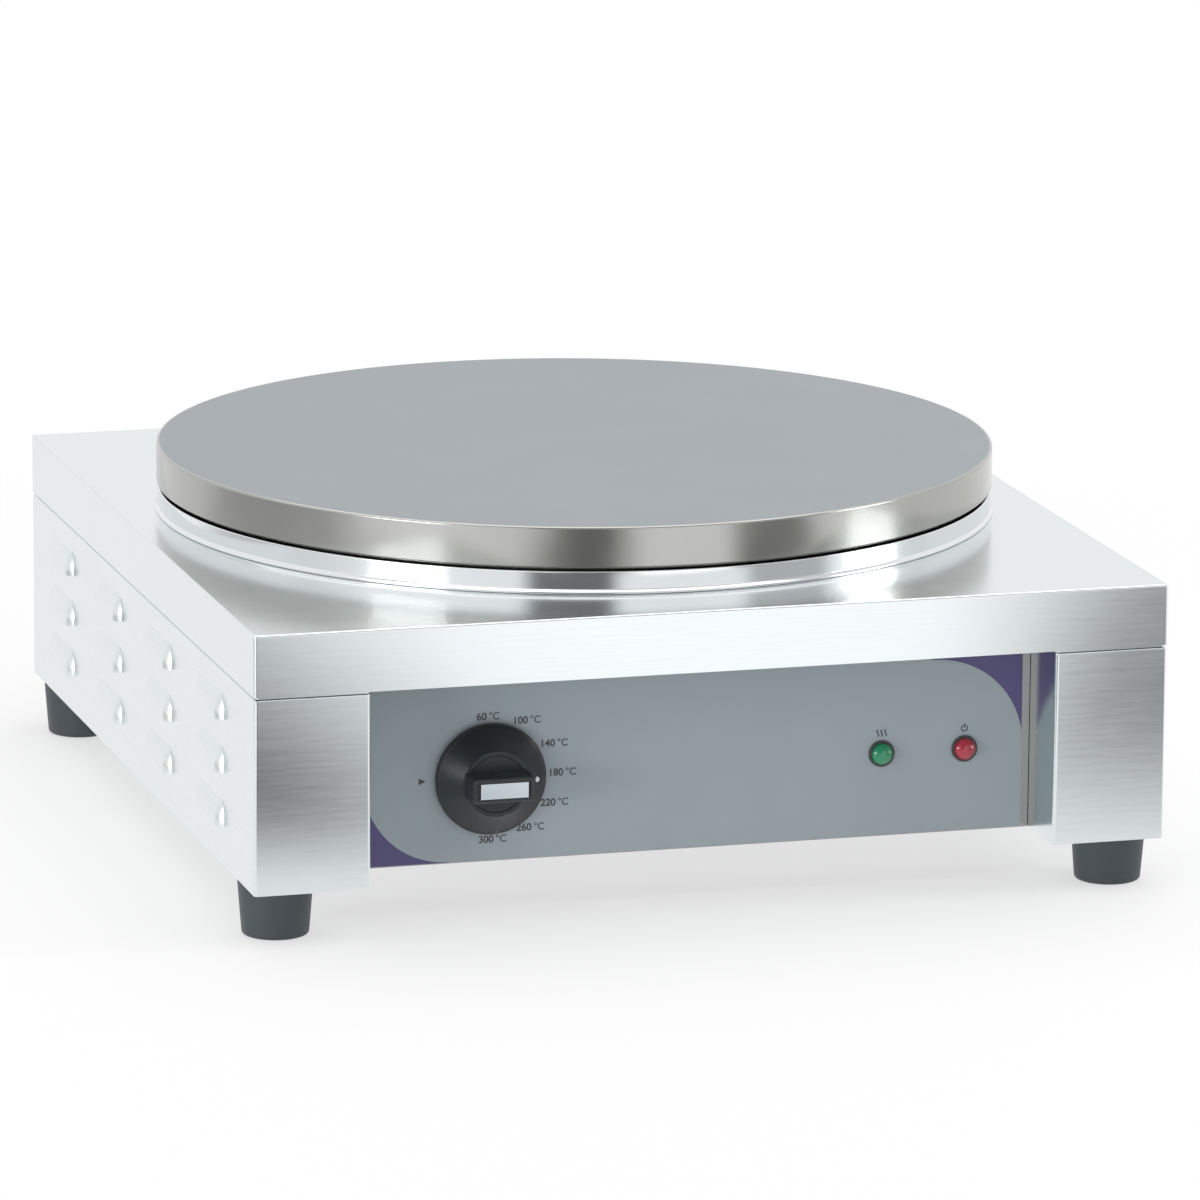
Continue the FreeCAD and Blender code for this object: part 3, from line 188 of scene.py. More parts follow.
def copy_of(piece, name, shift=(0, 0, 0), mirror=False):
    """A copy with its own mesh, moved, or mirrored across the middle plane."""
    twin = piece.copy()
    twin.data = piece.data.copy()
    twin.name = name
    twin.data.name = name
    bpy.context.scene.collection.objects.link(twin)
    twin.location = shift
    if mirror:
        twin.scale.x = -1
    activate(twin)
    bpy.ops.object.transform_apply(location=True, rotation=True, scale=True)
    if mirror:
        close_up(twin)
    return twin


def draw(name, places):
    """One point drawn out through the places, ending in edit mode."""
    bpy.ops.mesh.primitive_plane_add(size=MM, location=places[0])
    piece = apply_place(name)
    pick(piece, "VERT", lambda corner: True)
    bpy.ops.mesh.merge(type="CENTER")
    for here, there in zip(places, places[1:]):
        bpy.ops.mesh.extrude_region_move(TRANSFORM_OT_translate={"value": there - here})
    return piece


def turned(name, section, centre, axis=UP, steps=96, degrees=30):
    """A half section of (radius, height) points spun about an axis."""
    side = Vector((1, 0, 0))
    places = [Vector(centre) + side * radius + axis * height for radius, height in section]
    piece = draw(name, places)
    bpy.ops.mesh.select_all(action="SELECT")
    bpy.ops.mesh.spin(steps=steps, angle=math.tau, center=centre, axis=axis)
    leave()
    close_up(piece)
    return smooth(piece, degrees)


def arc(middle_radius, middle_height, radius, start, end, count):
    """Points of a round corner in a half section, angles in degrees from outwards to up."""
    angles = [math.radians(start + (end - start) * step / count) for step in range(count + 1)]
    return [(middle_radius + radius * math.cos(angle), middle_height + radius * math.sin(angle))
            for angle in angles]


def filled(name, places, thickness):
    """A flat plate over an outline of places, as thick as the given vector."""
    piece = draw(name, places)
    bpy.ops.mesh.select_all(action="SELECT")
    bpy.ops.mesh.edge_face_add()
    bpy.ops.mesh.extrude_region_move(TRANSFORM_OT_translate={"value": thickness})
    leave()
    close_up(piece)
    return piece


def folded_wall(name, plan, low, high, bend):
    """A sheet stood on a plan of (x, y) points, with its corners bent round."""
    places = [Vector((x, y, low)) for x, y in plan]
    piece = draw(name, places)
    bpy.ops.mesh.select_all(action="SELECT")
    bpy.ops.mesh.extrude_region_move(TRANSFORM_OT_translate={"value": UP * (high - low)})
    leave()
    inner = places[1:-1]
    round_edges(piece, lambda edge: is_upright(edge) and any(
        (middle(edge).xy - place.xy).length < 0.1 * MM for place in inner), bend, 6)
    return piece


# Shared surface effects

def new_group(name, inputs, outputs):
    """A node group with named sockets: (name, kind, default)."""
    tree = bpy.data.node_groups.new(name, "ShaderNodeTree")
    for label, kind, default in inputs:
        made = tree.interface.new_socket(label, in_out="INPUT", socket_type="NodeSocket" + kind)
        if default is not None:
            made.default_value = default
    for label, kind in outputs:
        tree.interface.new_socket(label, in_out="OUTPUT", socket_type="NodeSocket" + kind)
    return tree, tree.nodes.new("NodeGroupInput"), tree.nodes.new("NodeGroupOutput")


def noise(tree, vector, scale, detail=4.0, roughness=0.55):
    node = tree.nodes.new("ShaderNodeTexNoise")
    node.inputs["Scale"].default_value = scale
    node.inputs["Detail"].default_value = detail
    node.inputs["Roughness"].default_value = roughness
    tree.links.new(vector, node.inputs["Vector"])
    return node.outputs["Fac"]


def spread(tree, value, low, high, new_low, new_high):
    """The range from low to high mapped to a new one, and held at its ends."""
    node = tree.nodes.new("ShaderNodeMapRange")
    for label, number in zip(("From Min", "From Max", "To Min", "To Max"), (low, high, new_low, new_high)):
        node.inputs[label].default_value = number
    tree.links.new(value, node.inputs["Value"])
    return node.outputs["Result"]


def feed(tree, value, socket):
    """Set a socket to a plain number, or link it to another socket."""
    if isinstance(value, (int, float)):
        socket.default_value = value
    else:
        tree.links.new(value, socket)


def calculate(tree, operation, first, second=None):
    node = tree.nodes.new("ShaderNodeMath")
    node.operation = operation
    feed(tree, first, node.inputs[0])
    if second is not None:
        feed(tree, second, node.inputs[1])
    return node.outputs["Value"]


def weighed(tree, first, first_share, second, second_share):
    """The sum of two values, each times its share."""
    return calculate(tree, "ADD", calculate(tree, "MULTIPLY", first, first_share),
                     calculate(tree, "MULTIPLY", second, second_share))


def root_of_squares(tree, first, second):
    squares = calculate(tree, "ADD", calculate(tree, "POWER", first, 2.0),
                        calculate(tree, "POWER", second, 2.0))
    return calculate(tree, "SQRT", squares)


def between(tree, mask, first, second):
    """The first value where the mask is 0, the second where it is 1, or a blend."""
    node = tree.nodes.new("ShaderNodeMix")
    feed(tree, mask, node.inputs["Factor"])
    feed(tree, first, node.inputs["A"])
    feed(tree, second, node.inputs["B"])
    return node.outputs["Result"]


def split(tree, vector):
    """The X, Y and Z of a vector, by name."""
    node = tree.nodes.new("ShaderNodeSeparateXYZ")
    tree.links.new(vector, node.inputs["Vector"])
    return node.outputs


def make_brushed_grain():
    """Fine parallel scratches: a streak mask and a slow cloud."""
    tree, given, result = new_group("brushed_grain",
                                    [("Vector", "Vector", None), ("Stretch", "Vector", (1, 1, 1))],
                                    [("Streak", "Float"), ("Cloud", "Float")])
    along = tree.nodes.new("ShaderNodeVectorMath")
    along.operation = "MULTIPLY"
    tree.links.new(given.outputs["Vector"], along.inputs[0])
    tree.links.new(given.outputs["Stretch"], along.inputs[1])
    fine = noise(tree, along.outputs["Vector"], 2200.0, 2.0, 0.6)
    coarse = noise(tree, along.outputs["Vector"], 700.0, 2.0, 0.5)
    tree.links.new(weighed(tree, fine, 0.6, coarse, 0.4), result.inputs["Streak"])
    tree.links.new(noise(tree, given.outputs["Vector"], 14.0, 3.0), result.inputs["Cloud"])
    return tree


def make_turning_marks():
    """Rings cut by a lathe about the upright axis through the given middle."""
    tree, given, result = new_group("turning_marks", [("Vector", "Vector", None), ("Pitch", "Float", 500.0)],
                                    [("Ring", "Float"), ("Cloud", "Float")])
    parts = split(tree, given.outputs["Vector"])
    place = tree.nodes.new("ShaderNodeCombineXYZ")
    tree.links.new(root_of_squares(tree, parts["X"], parts["Y"]), place.inputs["X"])
    tree.links.new(parts["Z"], place.inputs["Y"])
    rings = tree.nodes.new("ShaderNodeTexNoise")
    rings.inputs["Detail"].default_value = 3.0
    tree.links.new(given.outputs["Pitch"], rings.inputs["Scale"])
    tree.links.new(place.outputs["Vector"], rings.inputs["Vector"])
    tree.links.new(rings.outputs["Fac"], result.inputs["Ring"])
    tree.links.new(noise(tree, given.outputs["Vector"], 18.0, 4.0), result.inputs["Cloud"])
    return tree


def make_fine_speckle():
    """Moulded or cast grain with a slow cloud of handling marks."""
    tree, given, result = new_group("fine_speckle", [("Vector", "Vector", None), ("Scale", "Float", 900.0)],
                                    [("Speckle", "Float"), ("Cloud", "Float")])
    grain = tree.nodes.new("ShaderNodeTexNoise")
    grain.inputs["Detail"].default_value = 2.0
    tree.links.new(given.outputs["Scale"], grain.inputs["Scale"])
    tree.links.new(given.outputs["Vector"], grain.inputs["Vector"])
    tree.links.new(grain.outputs["Fac"], result.inputs["Speckle"])
    tree.links.new(noise(tree, given.outputs["Vector"], 30.0, 3.0), result.inputs["Cloud"])
    return tree


def make_edge_rub():
    """A mask of the raised edges that hands and cloths rub."""
    tree, given, result = new_group("edge_rub", [("Vector", "Vector", None)], [("Mask", "Float")])
    shape = tree.nodes.new("ShaderNodeNewGeometry")
    raised = spread(tree, shape.outputs["Pointiness"], 0.52, 0.6, 0.0, 1.0)
    broken = spread(tree, noise(tree, given.outputs["Vector"], 120.0), 0.35, 0.65, 0.3, 1.0)
    tree.links.new(calculate(tree, "MULTIPLY", raised, broken), result.inputs["Mask"])
    return tree


BRUSHED_GRAIN = make_brushed_grain()
TURNING_MARKS = make_turning_marks()
FINE_SPECKLE = make_fine_speckle()
EDGE_RUB = make_edge_rub()


# Materials

# How the grain is stretched along each axis: a small number draws it out into long lines
LEVEL_GRAIN = (0.03, 0.03, 1.0)
FRONT_GRAIN = (0.03, 1.0, 1.0)
UPRIGHT_GRAIN = (1.0, 1.0, 0.03)
SHORT_GRAIN = (0.05, 1.0, 1.0)
SCRATCH_DEPTH = 0.0015 * MM

# The film's violet corners: which way they face, their arc's middle across and up, its radius
VIOLET_CORNERS = ((1.0, 0.1165, 0.0646, 0.0428), (-1.0, -0.117, 0.066, 0.040))
ARC_SLOPE = 0.15


class Finish:
    """One material: a Principled shader on Object coordinates."""

    def __init__(self, name, metallic=0.0, **sockets):
        self.material = bpy.data.materials.new(name)
        self.material.use_nodes = True
        self.tree = self.material.node_tree
        self.shader = self.tree.nodes["Principled BSDF"]
        self.shader.inputs["Metallic"].default_value = metallic
        for label, value in sockets.items():
            self.shader.inputs[label.replace("_", " ")].default_value = value
        self.place = self.tree.nodes.new("ShaderNodeTexCoord").outputs["Object"]

    def centred(self, spot):
        node = self.tree.nodes.new("ShaderNodeMapping")
        node.inputs["Location"].default_value = -Vector(spot)
        self.tree.links.new(self.place, node.inputs["Vector"])
        return node.outputs["Vector"]

    def effect(self, group, vector=None, **values):
        node = self.tree.nodes.new("ShaderNodeGroup")
        node.node_tree = group
        self.tree.links.new(vector or self.place, node.inputs["Vector"])
        for label, value in values.items():
            node.inputs[label].default_value = value
        return node.outputs

    def colour(self, mask, first, second):
        """Base colour between two, by a mask."""
        self.tree.links.new(self.blend(mask, first, second), self.shader.inputs["Base Color"])

    def blend(self, mask, first, second):
        node = self.tree.nodes.new("ShaderNodeMix")
        node.data_type = "RGBA"
        self.tree.links.new(mask, node.inputs["Factor"])
        for label, value in (("A", first), ("B", second)):
            socket = [item for item in node.inputs if item.name == label and item.type == "RGBA"][0]
            if isinstance(value, tuple):
                socket.default_value = (*value, 1.0)
            else:
                self.tree.links.new(value, socket)
        return [item for item in node.outputs if item.type == "RGBA"][0]

    def roughness(self, mask, low, high):
        value = spread(self.tree, mask, 0.3, 0.7, low, high)
        self.tree.links.new(value, self.shader.inputs["Roughness"])

    def bump(self, height, distance, strength):
        node = self.tree.nodes.new("ShaderNodeBump")
        node.inputs["Distance"].default_value = distance
        node.inputs["Strength"].default_value = strength
        self.tree.links.new(height, node.inputs["Height"])
        self.tree.links.new(node.outputs["Normal"], self.shader.inputs["Normal"])


def brushed(name, tint, darker, low, high, stretched):
    made = Finish(name, metallic=1.0)
    grain = made.effect(BRUSHED_GRAIN, Stretch=stretched)
    made.colour(grain["Streak"], darker, tint)
    made.roughness(weighed(made.tree, grain["Streak"], 0.6, grain["Cloud"], 0.4), low, high)
    made.bump(grain["Streak"], SCRATCH_DEPTH, 0.5)
    return made.material


def make_cover_steel():
    """Brushed along the cover's front, so the grain stands upright on its two sides."""
    made = Finish("cover_steel", metallic=1.0)
    tree = made.tree
    flat = made.effect(BRUSHED_GRAIN, Stretch=FRONT_GRAIN)
    side = made.effect(BRUSHED_GRAIN, Stretch=UPRIGHT_GRAIN)
    facing = split(tree, tree.nodes.new("ShaderNodeNewGeometry").outputs["True Normal"])
    on_side = calculate(tree, "GREATER_THAN", calculate(tree, "ABSOLUTE", facing["X"]), 0.7)
    streak = between(tree, on_side, flat["Streak"], side["Streak"])
    made.colour(streak, (0.67, 0.705, 0.715), (0.79, 0.83, 0.835))
    made.roughness(weighed(tree, streak, 0.5, flat["Cloud"], 0.5), 0.15, 0.22)
    made.bump(streak, SCRATCH_DEPTH, 0.5)
    return made.material


def lathe_finish(name, tint, darker, low, high, pitch, depth, metallic=1.0):
    made = Finish(name, metallic=metallic)
    marks = made.effect(TURNING_MARKS, made.centred(PLATE_MIDDLE), Pitch=pitch)
    made.colour(marks["Cloud"], darker, tint)
    made.roughness(marks["Cloud"], low, high)
    made.bump(marks["Ring"], depth, 0.5)
    return made.material


def moulded(name, tint, darker, low, high, scale=900.0, depth=0.02 * MM, **sockets):
    made = Finish(name, **sockets)
    grain = made.effect(FINE_SPECKLE, Scale=scale)
    made.colour(grain["Cloud"], darker, tint)
    made.roughness(grain["Cloud"], low, high)
    made.bump(grain["Speckle"], depth, 0.4)
    return made.material


def make_print():
    """Grey film with violet beyond its two large corner arcs."""
    made = Finish("printed_film", IOR=1.45)
    tree = made.tree
    place = split(tree, made.place)

    def beyond(axis, start, sign):
        """How far a point lies past the arc's middle, the way that the sign points."""
        return calculate(tree, "MULTIPLY", calculate(tree, "SUBTRACT", place[axis], start), sign)

    def over(ahead, across):
        """The same, less a slope where the point lies short of the middle the other way."""
        short = calculate(tree, "MULTIPLY", calculate(tree, "MINIMUM", across, 0.0), ARC_SLOPE)
        return calculate(tree, "MAXIMUM", calculate(tree, "ADD", ahead, short), 0.0)

    def corner(sign, middle_x, middle_z, radius):
        """1 outside the arc, in the corner that the sign points to."""
        beyond_x = beyond("X", middle_x, sign)
        beyond_z = beyond("Z", middle_z, sign)
        reach = root_of_squares(tree, over(beyond_x, beyond_z), over(beyond_z, beyond_x))
        return calculate(tree, "GREATER_THAN", reach, radius)

    mask = calculate(tree, "MAXIMUM", *[corner(*entry) for entry in VIOLET_CORNERS])
    grain = made.effect(FINE_SPECKLE, Scale=1400.0)
    grey = made.blend(grain["Cloud"], (0.325, 0.38, 0.41), (0.36, 0.415, 0.445))
    violet = made.blend(grain["Cloud"], (0.085, 0.07, 0.19), (0.1, 0.085, 0.215))
    made.colour(mask, grey, violet)
    made.roughness(grain["Cloud"], 0.36, 0.46)
    made.bump(grain["Speckle"], 0.01 * MM, 0.3)
    return made.material


def make_lens(name, tint, darker):
    made = Finish(name, Coat_Weight=0.6, Coat_Roughness=0.05, IOR=1.5)
    grain = made.effect(FINE_SPECKLE, Scale=600.0)
    made.colour(grain["Cloud"], darker, tint)
    made.roughness(grain["Cloud"], 0.12, 0.2)
    made.bump(grain["Speckle"], 0.01 * MM, 0.2)
    return made.material


def make_knob_plastic():
    """Near black, and paler where fingers rub its edges."""
    made = Finish("knob_plastic", IOR=1.5, Specular_IOR_Level=0.4)
    grain = made.effect(FINE_SPECKLE, Scale=1500.0)
    rub = made.effect(EDGE_RUB)
    dark = made.blend(grain["Cloud"], (0.014, 0.017, 0.019), (0.02, 0.024, 0.026))
    made.colour(rub["Mask"], dark, (0.05, 0.056, 0.06))
    made.roughness(grain["Cloud"], 0.24, 0.32)
    made.bump(grain["Speckle"], 0.012 * MM, 0.3)
    return made.material


# Each finish: its two colours, its roughness from low to high, and its grain
HOUSING_STEEL = brushed("housing_steel", (0.8, 0.84, 0.845), (0.66, 0.695, 0.705), 0.15, 0.22, LEVEL_GRAIN)
# Darkened steel for the control panel: painted shade for its place in the recess behind the film
RECESS_SHADE_STEEL = brushed("recess_painted_shade", (0.34, 0.345, 0.34), (0.28, 0.285, 0.28), 0.2, 0.28, LEVEL_GRAIN)
COVER_STEEL = make_cover_steel()
PLAIN_STEEL = brushed("plain_steel", (0.7, 0.71, 0.71), (0.56, 0.57, 0.57), 0.25, 0.38, SHORT_GRAIN)
POLISHED_STEEL = lathe_finish("polished_steel", (0.8, 0.82, 0.83), (0.76, 0.78, 0.79), 0.07, 0.11,
                              700.0, 0.001 * MM)
PLATE_TOP = lathe_finish("plate_top", (0.3, 0.33, 0.345), (0.265, 0.295, 0.31), 0.5, 0.62,
                         420.0, 0.012 * MM, metallic=0.0)
PLATE_SIDE = lathe_finish("plate_side", (0.44, 0.44, 0.42), (0.36, 0.36, 0.345), 0.13, 0.19,
                          900.0, 0.0015 * MM)
RUBBER = moulded("foot_rubber", (0.055, 0.068, 0.078), (0.04, 0.05, 0.058), 0.5, 0.65)
PRINTED_FILM = make_print()
KNOB_PLASTIC = make_knob_plastic()
KNOB_SILVER = brushed("knob_silver", (0.6, 0.66, 0.69), (0.52, 0.58, 0.61), 0.2, 0.3, SHORT_GRAIN)
INK = moulded("print_ink", (0.05, 0.06, 0.065), (0.035, 0.042, 0.046), 0.4, 0.5, 2000.0, 0.005 * MM)
POINTER_WHITE = moulded("pointer_white", (0.85, 0.86, 0.86), (0.78, 0.79, 0.79), 0.3, 0.4)
LENS_GREEN = make_lens("lens_green", (0.0, 0.3, 0.12), (0.0, 0.2, 0.08))
LENS_RED = make_lens("lens_red", (0.5, 0.015, 0.04), (0.36, 0.01, 0.03))
DARK_MOULDING = moulded("dark_moulding", (0.05, 0.05, 0.053), (0.035, 0.035, 0.037), 0.35, 0.5)

SLOT_FINISHES = {
    "stainless_brushed": HOUSING_STEEL,
    "stainless_polished": POLISHED_STEEL,
    "cast_iron_plate": PLATE_SIDE,
    "overlay_print": PRINTED_FILM,
    "rubber_foot": RUBBER,
    "knob_black": KNOB_PLASTIC,
    "knob_silver": KNOB_SILVER,
    "pointer_white": POINTER_WHITE,
    "lens_green": LENS_GREEN,
    "lens_red": LENS_RED,
    "lamp_shell": DARK_MOULDING,
    "gland_plastic": DARK_MOULDING,
    "spring_clip": PLAIN_STEEL,
    "zinc_steel": PLAIN_STEEL,
    "element_sheath": moulded("element_sheath", (0.16, 0.15, 0.14), (0.09, 0.085, 0.08), 0.45, 0.6,
                              700.0, metallic=1.0),
    "mat_fibre": moulded("mat_fibre", (0.75, 0.73, 0.66), (0.6, 0.58, 0.52), 0.85, 0.95, 500.0, 0.3 * MM),
    "thermostat_case": moulded("thermostat_case", (0.5, 0.5, 0.48), (0.42, 0.42, 0.4), 0.35, 0.5),
    "copper_tube": moulded("copper_tube", (0.75, 0.42, 0.28), (0.6, 0.32, 0.2), 0.22, 0.35, 600.0,
                           metallic=1.0),
    "block_ceramic": moulded("block_ceramic", (0.8, 0.78, 0.72), (0.7, 0.68, 0.62), 0.4, 0.55),
    "bond_brass": moulded("bond_brass", (0.72, 0.55, 0.25), (0.58, 0.43, 0.18), 0.22, 0.36, 800.0,
                          metallic=1.0),
    "lead_brown": moulded("lead_brown", (0.2, 0.08, 0.035), (0.15, 0.06, 0.025), 0.4, 0.5),
    "lead_blue": moulded("lead_blue", (0.03, 0.08, 0.35), (0.02, 0.06, 0.27), 0.4, 0.5),
    "lead_green": moulded("lead_green", (0.1, 0.35, 0.05), (0.4, 0.38, 0.03), 0.4, 0.5, 60.0),
}

for entry in frame["record"]["subparts"]:
    carried = frame["nodes"][entry["node"]]
    carried.data.materials.clear()
    carried.data.materials.append(SLOT_FINISHES[entry["material_slot"]])
# The control panel takes the darkened steel, as painted shade in its recess
frame["nodes"]["control_panel"].data.materials[0] = RECESS_SHADE_STEEL


def dress(piece, finish, nodes=(), body="chassis"):
    """Give a new piece its finish, its body and the nodes that it stands for."""
    piece.data.materials.clear()
    piece.data.materials.append(finish)
    if nodes:
        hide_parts(*nodes)
    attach(piece, body)


# Camera at the photograph's viewing angle
CAMERA_PLACE = (-1.12712, -3.91998, 1.02273)
CAMERA_TURNS = (77.2502, -0.4271, -16.0905)
bpy.ops.object.camera_add(location=CAMERA_PLACE, rotation=[math.radians(turn) for turn in CAMERA_TURNS])
camera = bpy.context.active_object
camera.name = "photo_camera"
camera.data.sensor_width = 36.0
camera.data.lens = 261.44
camera.data.clip_end = 50.0
bpy.context.scene.camera = camera


# Top cover

def make_cover():
    """A folded tray, upside down, with a round hole over the pan."""
    cover = block("cover_sheet", COVER_LOW, COVER_HIGH)
    pick(cover, "FACE", lambda face: face.normal.z < -0.9)
    bpy.ops.mesh.delete(type="FACE")
    leave()
    round_edges(cover, is_upright, COVER_CORNER, 8)
    round_edges(cover, lambda edge: all(abs(corner.co.z - COVER_HIGH.z) < NEAR for corner in edge.verts),
                COVER_EDGE, 5)
    apply_modifier(cover, "SOLIDIFY", thickness=SHEET, offset=-1.0)
    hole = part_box("insulation_pan")[1].x - PAN_OVERLAP
    bpy.ops.mesh.primitive_cylinder_add(vertices=192, radius=hole, depth=20 * MM,
                                        location=(PLATE_MIDDLE.x, PLATE_MIDDLE.y, COVER_HIGH.z))
    combine(cover, apply_place("cover_hole"), "DIFFERENCE")
    dress(smooth(cover), COVER_STEEL, ["top_cover"])


# Side panels with their pressed louvres

LOUVRE_LENGTH = 48.0 * MM
LOUVRE_HEIGHT = 12.5 * MM
LOUVRE_COLUMNS = [-147.5 * MM, -44.5 * MM, 58.5 * MM, 161.5 * MM]
LOUVRE_ROWS = [49.6 * MM, 74.6 * MM, 99.6 * MM]
HOOD_SINK = 6.0 * MM
HOOD_END = 5.5 * MM
OPENING_END = 4 * MM
OPENING_SILL = 0.2 * MM
OPENING_TOP = 7 * MM

# The joggle's bends below the seam, and its two moves: how far below, and which share of it
JOGGLE_BENDS = (0.7 * MM, 0.35 * MM, 0.0)
JOGGLE_MOVES = ((0.5 * MM, 0.3), (0.1 * MM, 0.7))
JOGGLE_BAND = 3 * MM


def make_hood():
    """A pressed hood about the origin, proud along -X, open along its lower edge."""
    deep = HOOD_SINK + PLAIN_X + LOUVRE_REACH - WALL_X
    share = math.sqrt(1 - (HOOD_SINK / deep) ** 2)
    bpy.ops.mesh.primitive_uv_sphere_add(segments=48, ring_count=24, radius=1.0, location=(HOOD_SINK, 0, 0),
                                         scale=(deep, HOOD_END / share, LOUVRE_HEIGHT / share))
    hood = apply_place("louvre_hood")
    for across in ((-1, 0, 0), (0, 0, 1), (0, 1, 0)):
        pick(hood, "VERT", lambda corner: True)
        bpy.ops.mesh.bisect(plane_co=(0, 0, 0), plane_no=across, clear_inner=True)
        leave()
    straight = LOUVRE_LENGTH / 2 - HOOD_END
    pick(hood, "EDGE", lambda edge: all(abs(corner.co.y) < NEAR for corner in edge.verts))
    bpy.ops.mesh.extrude_region_move(TRANSFORM_OT_translate={"value": (0, -straight, 0)})
    leave()
    pick(hood, "VERT", lambda corner: True)
    bpy.ops.transform.translate(value=(0, straight, 0))
    leave()
    apply_modifier(hood, "MIRROR", use_axis=(False, True, False), use_clip=True, merge_threshold=NEAR)
    return hood


def tuck_under_skirt(wall):
    """Set the top of the wall inwards, so that a dark seam shows below the skirt."""
    bend = COVER_LOW.z - SEAM
    for below in JOGGLE_BENDS:
        pick(wall, "VERT", lambda corner: True)
        bpy.ops.mesh.bisect(plane_co=(0, 0, bend - below), plane_no=(0, 0, 1))
        leave()
    reach = PLAIN_Y - JOGGLE_BAND
    for below, share in JOGGLE_MOVES:
        level = bend - below
        pick(wall, "VERT", lambda corner: corner.co.z > level and corner.co.x < -COLUMN_X - JOGGLE_BAND)
        bpy.ops.transform.translate(value=(share * JOGGLE, 0, 0))
        leave()
        for side in (-1, 1):
            pick(wall, "VERT", lambda corner: corner.co.z > level and corner.co.y * side > reach)
            bpy.ops.transform.translate(value=(0, -side * share * JOGGLE, 0))
            leave()


def make_side_sheets():
    front_end = PANEL_FACE + RETURN_REACH
    back_end = BACK_FACE - RETURN_REACH
    low, high = SIDE_LOW.z, SIDE_HIGH.z
    wall = folded_wall("left_side_sheet", [
        (-COLUMN_X, back_end), (-COLUMN_X, WALL_Y), (-WALL_X, WALL_Y), (-WALL_X, -WALL_Y),
        (-COLUMN_X, -WALL_Y), (-COLUMN_X, front_end)], low + SHEET / 2, high, WALL_BEND)
    tuck_under_skirt(wall)
    apply_modifier(wall, "SOLIDIFY", thickness=SHEET, offset=-1.0)
    flange_edge = -(WALL_X - SHEET - BOTTOM_FLANGE)
    plan = [
        (-COLUMN_X, PANEL_FACE), (-COLUMN_X, -WALL_Y), (-WALL_X, -WALL_Y), (-WALL_X, WALL_Y),
        (-COLUMN_X, WALL_Y), (-COLUMN_X, BACK_FACE), (flange_edge, BACK_FACE), (flange_edge, PANEL_FACE)]
    floor = filled("side_floor", [Vector((x, y, low)) for x, y in plan], UP * SHEET)
    round_edges(floor, lambda edge: is_upright(edge) and abs(abs(middle(edge).y) - WALL_Y) < NEAR,
                WALL_BEND, 6)
    combine(wall, floor, "UNION")
    spots = [(y, z) for y in LOUVRE_COLUMNS for z in LOUVRE_ROWS]
    lower = -LOUVRE_HEIGHT / 2
    hood = make_hood()
    apply_modifier(hood, "SOLIDIFY", thickness=SHEET, offset=-1.0)
    hoods = [copy_of(hood, "hood", (-WALL_X, y, z + lower)) for y, z in spots]
    bpy.data.objects.remove(hood)
    half = LOUVRE_LENGTH / 2 - OPENING_END
    openings = [block("opening", (-WALL_X - SHEET, y - half, z + lower + OPENING_SILL),
                      (-WALL_X + 2 * SHEET, y + half, z + lower + OPENING_TOP))
                for y, z in spots]
    combine(wall, join(openings), "DIFFERENCE")
    left = join([wall] + hoods)
    left.name = "left_side_sheet"
    right = copy_of(left, "right_side_sheet", mirror=True)
    for sheet, node in ((left, "left_side_panel"), (right, "right_side_panel")):
        dress(smooth(sheet, 40), HOUSING_STEEL, [node])


# Griddle plate and collar ring

PLATE_HEIGHT = 20.0 * MM
PLATE_EDGE = 1.0 * MM
PLATE_WALL = 14.0 * MM
PLATE_HOLLOW = 9.0 * MM
PLATE_CHAMFER = 1.6 * MM
PLATE_RIM = 1.4 * MM
RING_FLARE = 1.2 * MM
RING_ROLL = 0.7 * MM
RING_SHELF = 8 * MM
RING_EDGE = 0.4 * MM


def make_griddle():
    """A plate with a hollow underside and a bright rim round its dull top."""
    radius = (PLATE_HIGH.x - PLATE_LOW.x) / 2
    hollow = radius - PLATE_WALL
    section = [(0, PLATE_HOLLOW), (hollow, PLATE_HOLLOW), (hollow, 0)]
    section += [(radius - PLATE_CHAMFER, 0), (radius, PLATE_CHAMFER)]
    section += arc(radius - PLATE_EDGE, PLATE_HEIGHT - PLATE_EDGE, PLATE_EDGE, 0, 90, 6)
    section += [(radius - PLATE_RIM, PLATE_HEIGHT)]
    section += [(radius * share, PLATE_HEIGHT) for share in (0.8, 0.5, 0.2, 0)]
    low = PLATE_HIGH.z - PLATE_HEIGHT
    griddle = turned("griddle_disc", section, (PLATE_MIDDLE.x, PLATE_MIDDLE.y, low), steps=256)
    dress(griddle, PLATE_TOP, ["griddle_plate"])
    griddle.data.materials.append(PLATE_SIDE)
    for face in griddle.data.polygons:
        reach = (face.center - PLATE_MIDDLE).xy.length
        face.material_index = 0 if face.normal.z > 0.9 and reach < radius - PLATE_RIM else 1


def make_ring():
    """A shelf under the plate, an upright neck, and a lip that rolls out onto the cover."""
    low = RING_LOW.z
    top = RING_HIGH.z - low
    lip = (RING_HIGH.x - RING_LOW.x) / 2
    neck = lip - RING_FLARE
    shelf = neck - RING_SHELF
    section = [(shelf, top), (neck - 0.8 * MM, top)]
    section += arc(neck - RING_EDGE, top - RING_EDGE, RING_EDGE, 90, 0, 5)
    section += [(neck, top - 0.8 * MM), (neck, 2.6 * MM), (neck + 0.1 * MM, 2.2 * MM)]
    section += arc(lip - RING_ROLL, RING_ROLL, RING_ROLL, 55, -90, 8)
    section += [(neck - 0.9 * MM, 0), (neck - SHEET, 4.4 * MM), (neck - SHEET, top - SHEET)]
    section += [(shelf, top - SHEET), (shelf, top)]
    ring = turned("collar_sheet", section, (PLATE_MIDDLE.x, PLATE_MIDDLE.y, low), steps=256, degrees=50)
    dress(ring, POLISHED_STEEL, ["collar_ring"])


# Feet

